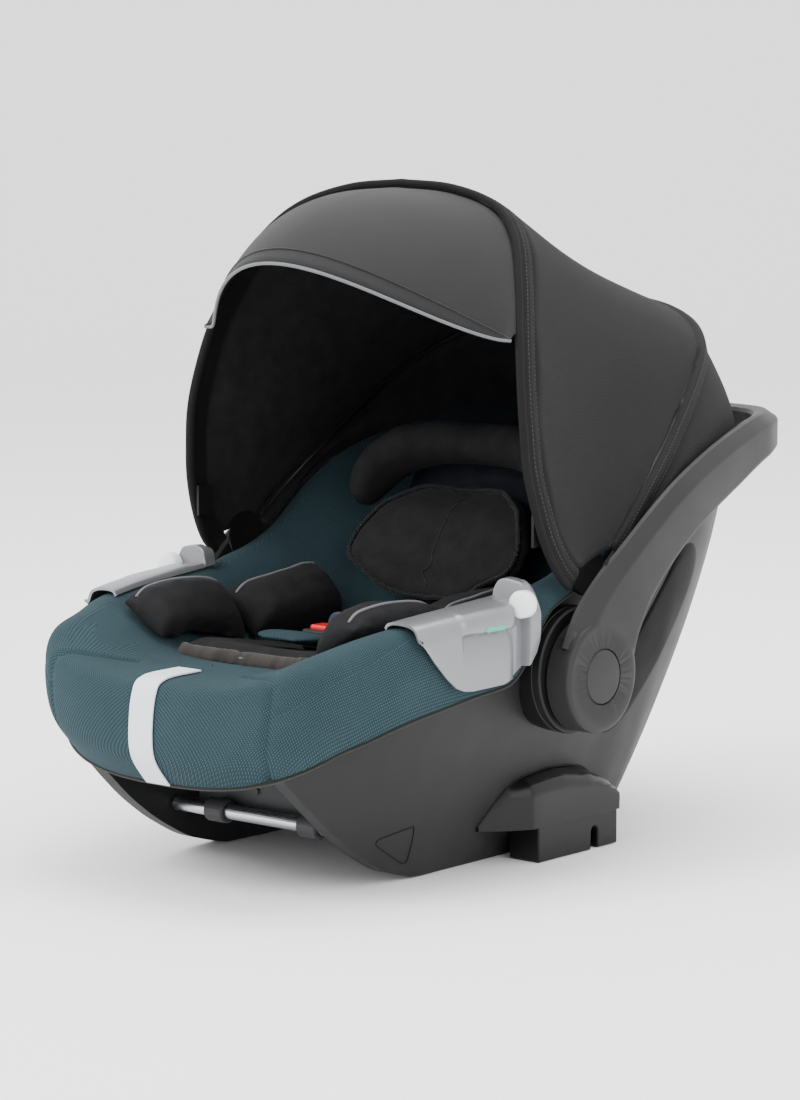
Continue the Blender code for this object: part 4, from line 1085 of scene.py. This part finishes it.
def make_guide(sign, tag):
    ys = np.linspace(-0.196, -0.066, 131)
    cols = 110
    outer = []
    for y in ys:
        low = np.interp(y, [-0.196, -0.190, -0.180, -0.168, -0.158, -0.150, -0.140, -0.105, -0.090, -0.078,
                            -0.070,
                            -0.066],
                        [0.2055, 0.199, 0.187, 0.174, 0.1655, 0.1625, 0.1615, 0.1630, 0.1670, 0.1750, 0.1850,
                         0.194])
        outer.append(resample([(x, y, z) for x, z in guide_section(y, low)], cols))
    outer = np.array(outer)
    normal = grid_normals(outer)
    if normal[60, 80, 0] < 0:
        normal = -normal
    height = outer[:, :, 2]
    run = outer[:, :, 1]
    out_face = np.clip(normal[:, :, 0] * 1.6, 0, 1)
    span = np.clip((run + 0.153) / 0.004, 0, 1) * np.clip((-0.086 - run) / 0.008, 0, 1)
    bar = np.clip(1 - ((height - 0.2150) / 0.0100) ** 2, 0, 1) ** 0.5
    below = 0.2068 - height
    recess = np.clip(below / 0.0018, 0, 1) * np.exp(-np.clip(below, 0, 1) / 0.010)
    outer = outer + normal * (out_face * span * (bar * 0.0016 - recess * 0.0052))[:, :, None]
    facing = grid_normals(outer)
    inner = outer - facing * (GUIDE_WALL if facing[60, 80, 0] > 0 else -GUIDE_WALL)
    outer[:, :, 0] *= sign
    inner[:, :, 0] *= sign
    guide = sheet_piece("belt_guide_piece_" + tag, outer, inner, [finishes()["silver"],
                                                                  finishes()["inner_grey"], finishes()["silver"]], 50)
    tidy_normals(guide)
    soften_edges(guide, 0.0007, 2, 50)
    guide.name = "guide_" + tag
    place(guide, "seat", "guide_silver", "belt_guide_" + tag)
    skin = Skin(guide)
    bar_path = [(sign * 0.24, y, 0.2085) for y in np.linspace(-0.128, -0.104, 14)]
    found, normals = skin.hit(bar_path, (-sign, 0.0, 0.0), 0.0001)
    mark = tube("guide_bar_" + tag, found, 0.0021, finishes()["mark"], 12, up=normals, flat=0.35, taper=True)
    place(mark, "seat", "mark_green", "guide_mark_" + tag)
    low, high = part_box("guide_disc_" + tag)
    middle = (low + high) / 2
    profile = [(-0.0055, 0.0100), (-0.0045, 0.0108), (0.003, 0.0110), (0.0048, 0.0102), (0.0055, 0.0085),
               (0.0057, 0.0005)]
    rings = []
    for along, r in profile:
        rings.append([(middle.x + r * math.cos(t), middle.y - SHIFT - along - 0.001,
                       middle.z + r * math.sin(t))
                      for t in np.arange(48) * 2 * math.pi / 48])
    disc = loft("guide_end_" + tag, rings, finishes()["white"], sharp=50)
    place(disc, "seat", "white_plastic", "guide_disc_" + tag)


def make_guides():
    for sign, tag in SIDES:
        make_guide(sign, tag)


# ---------------------------------------------------------------- cover

def side_section(y):
    """Outside of the cover at a station: from the middle of the seat over the rim to the hem."""
    w, rim, floor, hem = at(RIM_HALF_AT, y), at(RIM_Z_AT, y), at(FLOOR_Z_AT, y), at(HEM_Z_AT, y)
    rise = rim - floor
    back = np.interp(y, [-0.05, 0.03], [0.0, 1.0])
    seat = 0.0123 + (0.0113 - 0.0123) * back
    edge = 0.0128 + (0.0090 - 0.0128) * back
    side = 0.0112 + (0.0045 - 0.0112) * back
    line = [(0.0, floor + seat), (0.26 * w, floor + 0.02 * rise + seat), (0.44 * w,
                                                                          floor + 0.09 * rise + seat),
            (0.58 * w, floor + 0.30 * rise + seat), (0.705 * w, floor + 0.62 * rise + seat * 0.9),
            (0.825 * w, floor + 0.90 * rise + edge * 0.75), (0.925 * w, rim + edge * 0.88),
            (w + side * 0.45, rim + side * 0.55)]
    for share, reach in ((0.30, 1.0), (0.68, 1.0), (1.0, 0.85)):
        z = rim + (hem - rim) * share
        line.append((side_x(y, z) + side * reach, z))
    return [(x, y, z) for x, z in line]


def nose_section(turn):
    """Outside of the cover round the foot end, at an angle from the side (0) to the front (1)."""
    c, s = math.cos(turn * math.pi / 2), math.sin(turn * math.pi / 2)
    line = []
    for k, (half, reach, side_z, front_z) in enumerate(NOSE):
        lower = max(k - 6, 0) / 4
        line.append((half * c ** (0.55 + 0.20 * lower), NOSE_Y - reach * s ** (0.75 + 0.15 * lower),
                     side_z + (front_z - side_z) * s ** 1.4))
    return line


COVER_COLS = 84


def cover_grid():
    """Half of the cover from its rear end round to the middle of the front, with its seam rows."""
    lines = [side_section(y) for y in np.linspace(0.3045, NOSE_Y - 0.0005, 110)]
    lines += [nose_section(t) for t in np.linspace(0.03, 1.0, 44) ** 0.9]
    grid = np.array([resample(line, COVER_COLS) for line in lines])
    kernel = np.array([1, 4, 6, 4, 1]) / 16
    for _ in range(3):
        middle = sum(kernel[k] * grid[k:len(grid) - 4 + k] for k in range(5))
        grid = np.concatenate([grid[:2], middle, grid[-2:]])
    grid[:, 0, 0] = 0.0
    grid[-1, :, 0] = 0.0
    return grid


def make_cover():
    f = finishes()
    half = cover_grid()
    rows, cols = half.shape[:2]
    both = np.concatenate([half[:, ::-1] * (-1, 1, 1), half[:, 1:]], axis=1)
    normal = grid_normals(both)
    if normal[40, cols - 1, 2] < 0:
        normal = -normal
    normal[-1] = normal[-2]
    corner = half[rows - 22, int(COVER_COLS * 0.30):]
    shoulder = half[int(rows * 0.49):rows - 21, int(COVER_COLS * 0.72)]
    for sign in (-1, 1):
        both = pressed(both, normal, resample(corner * (sign, 1, 1), 80), sizes().quilt, 0.0030)
        both = pressed(both, normal, resample(shoulder * (sign, 1, 1), 80), sizes().quilt * 0.35, 0.0028)
    inner = both - normal * KNIT_THICKNESS
    cover = sheet_piece("cover_cloth", both, inner, [f["knit"], f["hem"]])
    tidy_normals(cover)
    place(cover, "seat", "teal_knit", "seat_cover", "front_cushion")
    skin = Skin(cover)
    hem = half[:, -1]
    whole = np.vstack([hem, hem[-2::-1] * (-1, 1, 1)])
    binding = tube("cover_hem", resample(whole, 420), 0.0015, f["hem"], 8)
    place(binding, "seat", "teal_knit")
    for sign, tag in SIDES:
        line = resample(shoulder * (sign, 1, 1), 160)
        line, normals = skin.near(line + (0, 0, -0.0030), 0.0001)
        row = stitches("cover_topstitch_" + tag, line, normals, f["knit_stitch"], sizes().stitch)
        place(row, "seat", "teal_knit")
        edge = half[int(rows * 0.36):int(rows * 0.475), int(COVER_COLS * 0.60)] * (sign, 1, 1)
        edge, normals = skin.near(resample(edge, 60), 0.0006)
        pipe = tube("cover_piping_" + tag, edge, 0.0011, f["piping"], 8, up=normals)
        place(pipe, "seat", "teal_knit")
    return cover


# ---------------------------------------------------------------- insert, headrest, harness

def make_insert():
    f = finishes()
    pads = []
    for node, name in (("leg_bolster_L", "leg_pad_L"), ("leg_bolster_R", "leg_pad_R"),
                       ("hip_bolster_L", "hip_pad_L"), ("hip_bolster_R", "hip_pad_R"),
                       ("reducer_base", "insert_base"), ("body_pad", "back_pad")):
        pad = copy_node(node, name, f["jersey"])
        pads.append((pad, node))
    plump([p for p, _ in pads], 0.0040, 0.0012, 4.0, 0.005)
    for pad, node in pads:
        place(pad, "seat", "insert_charcoal", node)
    skins = {node: Skin(pad) for pad, node in pads}
    front, normals = skins["reducer_base"].near([(x, -0.2120,
                                                  0.1770) for x in np.linspace(-0.080, 0.080, 60)],
                                                0.0002)
    place(tube("insert_binding", front, 0.0058, f["binding"], 12, up=normals, flat=0.32), "seat",
          "insert_charcoal")
    line, normals = skins["reducer_base"].hit([(x, -0.1990, 0.30) for x in np.linspace(-0.078, 0.078, 60)],
                                              (0.0, 0.0, -1.0), 0.0003)
    place(tube("insert_piping", line, 0.0011, f["piping"], 8, up=normals), "seat", "insert_charcoal")
    for sign, tag in SIDES:
        for node, x, start, end in (("leg_bolster_", 0.116, -0.203, -0.104), ("hip_bolster_", 0.112, -0.088,
                                                                              0.010)):
            line, normals = skins[node + tag].hit([(sign * x, y, 0.34) for y in np.linspace(start, end, 48)],
                                                  (0.0, 0.0, -1.0), 0.0004)
            trim = tube(node.replace("bolster_", "piping_") + tag, line, 0.0012, f["piping"], 8, up=normals)
            place(trim, "seat", "insert_charcoal")
    half = [(0.0, 0.055, 0.075), (0.030, 0.054, 0.075), (0.052, 0.047, 0.078), (0.078, 0.027, 0.080),
            (0.095, -0.004, 0.080), (0.098, -0.022, 0.075), (0.095, -0.036, 0.070), (0.078, -0.048, 0.060),
            (0.050, -0.062, 0.052), (0.0, -0.070, 0.050)]
    ring = [(x, *on_back(d, n)) for x, d, n in half] + [(-x, *on_back(d, n)) for x, d, n in half[-2:0:-1]]
    edge, _ = skins["body_pad"].near(resample(ring, 200, closed=True), 0.0012)
    place(rope("back_pad_rope", edge, 0.0021, 0.008, f["rope"], closed=True), "seat", "insert_charcoal")
    seam, normals = skins["body_pad"].near([(0.0, *on_back(d, 0.08)) for d in np.linspace(0.050, -0.064, 50)],
                                           0.0001)
    place(tube("back_pad_seam", seam, 0.0006, f["dark_piping"], 8, up=normals), "seat", "insert_charcoal")


def make_headrest():
    f = finishes()
    arch = copy_node("head_bolster", "head_arch", f["jersey"])
    plump([arch], 0.0045, 0.0012, 4.0, 0.006)
    place(arch, "headrest", "insert_charcoal", "head_bolster")
    board = copy_node("headrest_board", "head_board", f["board"])
    bevel = board.modifiers.new("edges", "BEVEL")
    bevel.width = 0.003
    bevel.segments = 3
    bevel.limit_method = "ANGLE"
    apply_modifiers(board)
    shade(board, 40)
    place(board, "headrest", "headrest_navy", "headrest_board")


def make_harness():
    f = finishes()
    for node, name, key, slot_name, body in (("buckle_body", "buckle_case", "buckle", "buckle_black", "seat"),
                                             ("buckle_button", "buckle_press", "button", "button_red",
                                              "buckle_release")):
        piece = copy_node(node, name, f[key])
        soften_edges(piece, 0.0009, 3, 30)
        place(piece, body, slot_name, node)
    for _, tag in SIDES:
        paint("harness_tongue_" + tag, "navy")
    pad = copy_node("crotch_pad", "crotch_cushion", f["knit"])
    plump([pad], 0.0030, 0.0006, 3.0, 0.002)
    place(pad, "seat", "teal_knit", "crotch_pad")


def make_strap():
    f = finishes()
    skin = Skin(bpy.data.objects["cover_cloth"])
    path = resample([(0.0, -0.258, 0.186), (0.0, -0.275, 0.187), (0.0, -0.292, 0.185), (0.0, -0.307, 0.178),
                     (0.0, -0.319, 0.165), (0.0, -0.322, 0.145), (0.0, -0.319, 0.120), (0.0, -0.309, 0.103),
                     (0.0, -0.299, 0.092), (0.0, -0.290, 0.086)], 90)
    half = sizes().strap / 2
    across = np.linspace(-1, 1, 17)
    rows, ups = [], []
    for p in path:
        centre, normal = skin.near([p], 0.0)
        ups.append(normal[0])
        rows.append(centre[0])
    rows = np.array(rows)
    kernel = np.ones(7) / 7
    rows = np.stack([np.convolve(np.pad(rows[:, k], 3, mode="edge"), kernel, "valid") for k in range(3)],
                    axis=1)
    ups = unit(np.stack([np.convolve(np.pad(np.array(ups)[:, k], 3, mode="edge"), kernel, "valid")
                         for k in range(3)], axis=1))
    ups[:, 0] = 0
    ups = unit(ups)
    grid = np.array([[r + (a * half, 0, 0) + u * 0.0008 for a in across] for r, u in zip(rows, ups)])
    fixed = []
    for row, up in zip(grid, ups):
        spots, _ = skin.near(row, 0.0)
        high = ((spots - row) @ up).max()
        fixed.append(row + up * max(high + 0.0009, 0.0))
    grid = np.array(fixed)
    strap = sheet_piece("adjuster_webbing", grid + ups[:, None] * WEBBING_THICKNESS, grid,
                        [f["strap"], f["strap"]], 50)
    tidy_normals(strap)
    place(strap, "seat", "webbing_white", "adjuster_strap")


# ---------------------------------------------------------------- canopy

def canopy_frames(front, rear):
    """Ways from the front arch to the rear one, and outward normals."""
    tang = unit(np.gradient(front, axis=0))
    across = rear - front
    across -= (across * tang).sum(axis=1, keepdims=True) * tang
    across = unit(across)
    normal = unit(np.cross(tang, across))
    flip = np.sign(((front - (0.0, 0.06, 0.25)) * normal).sum(axis=1, keepdims=True))
    return across, normal * flip


def rail_points():
    pts = [(at(RIM_HALF_AT, y) + 0.0105, y, at(RIM_Z_AT, y) - 0.003) for y in
           (0.045, 0.075, 0.120, 0.160, 0.195, 0.225, 0.252, 0.275, 0.292)]
    return pts + [(0.106, 0.3150, 0.336), (0.053, 0.3165, 0.337), (0.0, 0.3165, 0.337)]


def canopy_rows():
    """Rows of the canopy cloth from its front edge to the rail, each with its share of the fold."""
    front, rear, rail = full_arch(FRONT_ARCH), full_arch(REAR_ARCH), full_arch(rail_points())
    across, normal = canopy_frames(front, rear)
    back_across, back_normal = canopy_frames(rear, rail)
    band = sizes().band
    rows = []
    for along, lift in ((0.0045, -0.0052), (0.0010, -0.0050), (-0.0012, -0.0034), (-0.0018, -0.0008),
                        (-0.0008, 0.0014), (0.0010, 0.0021), (0.0032, 0.0019), (0.0040, 0.0012),
                        (0.0048, 0.0018), (0.0085, 0.0022), (0.0130, 0.0021), (0.0170, 0.0017),
                        (0.0185, 0.0002), (0.0200, 0.0006)):
        rows.append((front + across * along * band / BAND_WIDTH + normal * lift, 1.0))
    start = front + across * 0.0215 * band / BAND_WIDTH + normal * 0.0014
    length = np.linalg.norm(rear - start, axis=1)
    sag = sizes().sag * np.minimum(length / 0.2, 1.0)
    turn = np.linspace(0, 1, len(front))
    for v in np.concatenate([np.linspace(0.0, 0.06, 3)[:-1], np.linspace(0.06, 0.94, 30),
                             np.linspace(0.94, 0.985, 3)[1:]]):
        ease = np.sin(math.pi * v)
        lean = normal * (1 - v) + back_normal * v
        point = start * (1 - v) + rear * v - unit(lean) * (sag * ease)[:, None]
        ripple = (0.0009 * np.sin(turn * 46 + v * 7) * math.exp(-((v - 0.97) / 0.10) ** 2)
                  + 0.0007 * np.sin(turn * 61 + 1.3) * math.exp(-((v - 0.03) / 0.07) ** 2))
        rows.append((point + unit(lean) * (ripple + 0.0006)[:, None], 1.0 - v))
    rear_up = unit(normal + back_normal)
    for along, lift in ((-0.0030, -0.0002), (0.0, 0.0034), (0.0030, 0.0048), (0.0070, 0.0046),
                        (0.0105, 0.0036),
                        (0.0125, 0.0010)):
        rows.append((rear + back_across * along + rear_up * lift, 0.0))
    for v in np.linspace(0.0, 1.0, 14):
        begin = rear + back_across * 0.0145
        point = begin * (1 - v) + rail * v + back_normal * (0.004 * math.sin(math.pi * v) + 0.0018 * (1 - v))
        rows.append((point, 0.0))
    return rows


def make_canopy():
    f = finishes()
    rows = canopy_rows()
    outer = np.array([r for r, _ in rows])
    normal = grid_normals(outer)
    middle = outer.shape[1] // 2
    if normal[20, middle, 2] < 0:
        normal = -normal
    inner = outer - normal * CANOPY_CLOTH_THICKNESS
    canopy = sheet_piece("canopy_cloth", outer, inner, [f["canvas"], f["lining"], f["lining"]])
    canopy.data.materials.append(f["band"])
    for face in canopy.data.polygons:
        if face.material_index == 0 and face.vertices[0] // outer.shape[1] < 10:
            face.material_index = 3
    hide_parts("canopy_front_panel", "canopy_rear_panel")
    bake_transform(canopy, "seat", "canopy", start=tuple(outer[50, middle] + (0, SHIFT, 0)),
             end=tuple(outer[5, middle] + (0, SHIFT, 0)))
    share = np.repeat([w for _, w in rows], outer.shape[1])
    canopy.data.attributes["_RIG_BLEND"].data.foreach_set("value", np.tile(share, 2).astype(np.float32))
    count = len(rows)
    for name, row, body in (("canopy_stitch_front", 9, "canopy"), ("canopy_stitch_band", 11, "canopy"),
                            ("canopy_stitch_rear", count - 16, "seat"), ("canopy_stitch_back", count - 18,
                                                                         "seat")):
        seam = stitches(name, outer[row] + normal[row] * 0.0002, normal[row], f["stitch"], sizes().stitch,
                        0.0025,
                        0.00034)
        place(seam, body, "canopy_cloth")
    for node in ("canopy_front_hoop", "canopy_rear_hoop"):
        paint(node, "hoop")
    for _, tag in SIDES:
        paint("canopy_pivot_" + tag, "hub")
        paint("snap_tab_" + tag, "hoop")


def visor_grid(cols=97, rows=22):
    arch = full_arch(FRONT_ARCH)
    order = np.argsort(arch[:, 0])
    arch = arch[order]
    xs = 0.1665 * np.sin(np.linspace(-1, 1, cols) * math.pi / 2 * 0.98) / math.sin(math.pi / 2 * 0.98)
    grid = []
    for x in xs:
        out = max(1 - (x / VISOR_HALF) ** 2, 0.0)
        edge = np.array((x, VISOR_END[0] + VISOR_REACH[0] * out ** 1.2,
                         VISOR_END[1] + VISOR_REACH[1] * out ** 1.5))
        root = np.array((x, np.interp(x, arch[:, 0], arch[:, 1]), np.interp(x, arch[:, 0], arch[:, 2])))
        root = root + (0.0, -0.004, -0.0055)
        rise = np.array((0.0, -0.04, 0.09)) * np.linalg.norm(edge - root)
        grid.append([root + (edge - root) * v + rise * 4 * v * (1 - v) for v in np.linspace(0, 1, rows)])
    return np.array(grid)


def make_visor():
    f = finishes()
    outer = visor_grid()
    normal = grid_normals(outer)
    if normal[outer.shape[0] // 2, 5, 2] < 0:
        normal = -normal
    visor = sheet_piece("visor_cloth", outer, outer - normal * CANOPY_CLOTH_THICKNESS,
                        [f["satin"], f["lining"], f["satin"]])
    place(visor, "canopy", "visor_cloth", "canopy_visor")
    edge = tube("visor_piping", outer[:, -1] - normal[:, -1] * 0.0008, sizes().piping, f["piping"], 10)
    place(edge, "canopy", "visor_cloth")
    line = outer[:, -3] + normal[:, -3] * 0.0003
    second = tube("visor_seam", line, 0.0007, f["dark_piping"], 6, up=normal[:, -3])
    place(second, "canopy", "visor_cloth")


# ---------------------------------------------------------------- handle and underside

ARM_SECTION = [(0.86, -0.93), (1.0, -0.80), (1.0, 0.46), (0.90, 0.58), (0.10, 0.97), (-0.30, 1.0),
               (-0.86, 0.86),
               (-1.0, 0.66), (-1.0, -0.74), (-0.84, -0.94), (-0.40, -1.0), (0.50, -1.0)]


def make_handle():
    f = finishes()
    half = resample(HANDLE_PATH, 64)
    left = half[-2::-1] * (-1, 1, 1, 1, 1)
    whole = np.vstack([half, left])
    path = whole[:, :3]
    tang = unit(np.gradient(path, axis=0))
    side = unit(np.cross(tang, (0.0, 0.0, 1.0)))
    up = unit(np.cross(side, tang))
    rings = [[p + s * a * u + w * b * v for u, v in ARM_SECTION]
             for p, s, w, a, b in zip(path, side, up, whole[:, 3], whole[:, 4])]
    arm = loft("handle_arm", rings, f["handle"], sharp=25)
    centre = (AXLE_Y, AXLE_Z)
    for sign, tag in SIDES:
        hub = lathe_x("hub", [(sign * x, r) for x, r in (
            (0.1935, 0.0430), (0.1935, 0.0448), (0.1948, 0.0460), (0.2125, 0.0460), (0.2148, 0.0452),
            (0.2162, 0.0432), (0.2166, 0.0405), (0.2166, 0.0010))], centre, f["handle"], 96)
        cut(arm, hub, "UNION")
        well = lathe_x("well", [(sign * 0.2140, 0.0229), (sign * 0.2300, 0.0229)], centre, f["handle"], 72)
        cut(arm, well)
    soften_edges(arm, 0.0008, 2, 62)
    arm.name = "handle"
    place(arm, "handle", "handle_plastic", "carry_handle")
    for sign, tag in SIDES:
        cap = lathe_x("handle_press_cap_" + tag, [(sign * x, r) for x, r in (
            (0.2100, 0.0215), (0.2100, 0.0221), (0.2160, 0.0221), (0.2167, 0.0214), (0.2169, 0.0200),
            (0.2169, 0.0010))], centre, f["handle"], 72)
        place(cap, "button_" + tag, "handle_plastic", "handle_button_" + tag)


def make_underside():
    for node, key in (("front_tube", "steel"), ("tube_clamp_L", "clamp"), ("tube_clamp_R", "clamp"),
                      ("tube_bracket", "bracket"), ("bracket_rivet_1", "bracket"), ("bracket_rivet_2",
                                                                                    "bracket"),
                      ("release_lever", "block"), ("foam_liner", "foam")):
        paint(node, key)


# ---------------------------------------------------------------- stage

def area_light(name, spot, target, power, size, colour=(1.0, 1.0, 1.0)):
    light = bpy.data.lights.new(name, "AREA")
    light.energy = power
    light.shape = "RECTANGLE"
    light.size, light.size_y = size
    light.color = colour
    lamp = bpy.data.objects.new(name, light)
    lamp.location = spot
    lamp.rotation_euler = (Vector(target) - Vector(spot)).to_track_quat("-Z", "Y").to_euler()
    bpy.context.scene.collection.objects.link(lamp)


CAMERA_SPOT = (1.789, -2.1245, 0.574)
CAMERA_AIM = (-0.078, 0.0615, 0.231)
LENS_MM = 108.0
BACKDROP_TURN = 40.5


def make_stage():
    """White floor, soft lights and the camera."""
    floor_finish, tree, surface = blank_finish("floor_matt_card", Roughness=0.9)
    surface.inputs["Base Color"].default_value = linear("#ffffff")
    grain = noise(tree, object_place(tree), 40.0)
    bump(tree, surface, grain, 0.0001)
    steps = 24
    profile = [(-14.0, 0.0)] + [(6.0 + 2.0 * math.sin(t), 2.0 - 2.0 * math.cos(t))
                                for t in np.linspace(0, math.pi / 2, steps)] + [(8.0, 9.0)]
    turn = Matrix.Rotation(math.radians(BACKDROP_TURN), 3, "Z")
    points = []
    for x in (-14.0, 14.0):
        for y, z in profile:
            spot = turn @ Vector((x, y, z))
            points.append((spot.x, spot.y - SHIFT, spot.z - 0.0005))
    n = len(profile)
    faces = [(i, i + 1, n + i + 1, n + i) for i in range(n - 1)]
    floor = make_piece("floor", points, faces, floor_finish)
    world = bpy.data.worlds.new("studio")
    world.use_nodes = True
    world.node_tree.nodes["Background"].inputs["Color"].default_value = (1.0, 1.0, 1.0, 1.0)
    world.node_tree.nodes["Background"].inputs["Strength"].default_value = 1.8
    bpy.context.scene.world = world
    aim = (0.0, 0.0, 0.25)
    area_light("key", (-1.2, -2.6, 2.6), aim, 110.0, (1.6, 1.6))
    area_light("fill", (2.8, -0.6, 1.4), aim, 24.0, (1.8, 1.8))
    area_light("top", (0.2, 0.6, 3.0), aim, 85.0, (2.2, 2.2))
    camera = bpy.data.cameras.new("camera")
    camera.lens = LENS_MM
    camera.sensor_fit = "VERTICAL"
    camera.sensor_height = 36.0
    rig = bpy.data.objects.new("camera", camera)
    rig.location = CAMERA_SPOT
    rig.rotation_euler = (Vector(CAMERA_AIM) - rig.location).to_track_quat("-Z", "Y").to_euler()
    bpy.context.scene.collection.objects.link(rig)
    bpy.context.scene.camera = rig


# ---------------------------------------------------------------- add-on

def step_operator(key, label, text, job):
    """One operator for a piece or a group of like pieces."""
    def execute(self, context):
        job()
        return {"FINISHED"}
    return type("SEAT_OT_" + key, (bpy.types.Operator,), {
        "bl_idname": "seat." + key, "bl_label": label, "__doc__": text, "execute": execute})


STEPS = [
    step_operator("shell", "Shell", "Build the moulded shell.", make_shell),
    step_operator("side_hardware", "Side hardware", "Build caps, hub bases and adapter blocks.",
                  make_side_hardware),
    step_operator("belt_guides", "Belt guides", "Build the silver belt guides.", make_guides),
    step_operator("cover", "Cover", "Sew the petrol cover.", make_cover),
    step_operator("insert", "Newborn insert", "Fill the insert's pads.", make_insert),
    step_operator("headrest", "Headrest", "Fill the headrest.", make_headrest),
    step_operator("harness", "Harness", "Build buckle, tongues and crotch pad.", make_harness),
    step_operator("strap", "Adjuster strap", "Lay the strap over the foot end.", make_strap),
    step_operator("canopy", "Canopy", "Stretch the canopy over its hoops.", make_canopy),
    step_operator("visor", "Visor", "Sew the visor.", make_visor),
    step_operator("handle", "Carry handle", "Build the carry handle.", make_handle),
    step_operator("underside", "Underside", "Finish the tube, clamps and bracket.", make_underside),
    step_operator("stage", "Stage", "Set the floor, lights and camera.", make_stage),
]


class SEAT_PT_panel(bpy.types.Panel):
    """Lists the sizes, colours and building steps."""
    bl_label = "Car seat"
    bl_idname = "SEAT_PT_panel"
    bl_space_type = "VIEW_3D"
    bl_region_type = "UI"
    bl_category = "Car seat"

    def draw(self, context):
        for group in (context.scene.seat_sizes, context.scene.seat_colours):
            for key in group.bl_rna.properties.keys():
                if key not in ("rna_type", "name"):
                    self.layout.prop(group, key)
        for step in STEPS:
            self.layout.operator(step.bl_idname)


CLASSES = [SeatSizes, SeatColours, *STEPS, SEAT_PT_panel]


def register():
    for item in CLASSES:
        bpy.utils.register_class(item)
    bpy.types.Scene.seat_sizes = bpy.props.PointerProperty(type=SeatSizes)
    bpy.types.Scene.seat_colours = bpy.props.PointerProperty(type=SeatColours)


def unregister():
    del bpy.types.Scene.seat_sizes
    del bpy.types.Scene.seat_colours
    for item in reversed(CLASSES):
        bpy.utils.unregister_class(item)


def main():
    register()
    for step in STEPS:
        group, name = step.bl_idname.split(".")
        getattr(getattr(bpy.ops, group), name)()


if __name__ == "__main__":
    main()
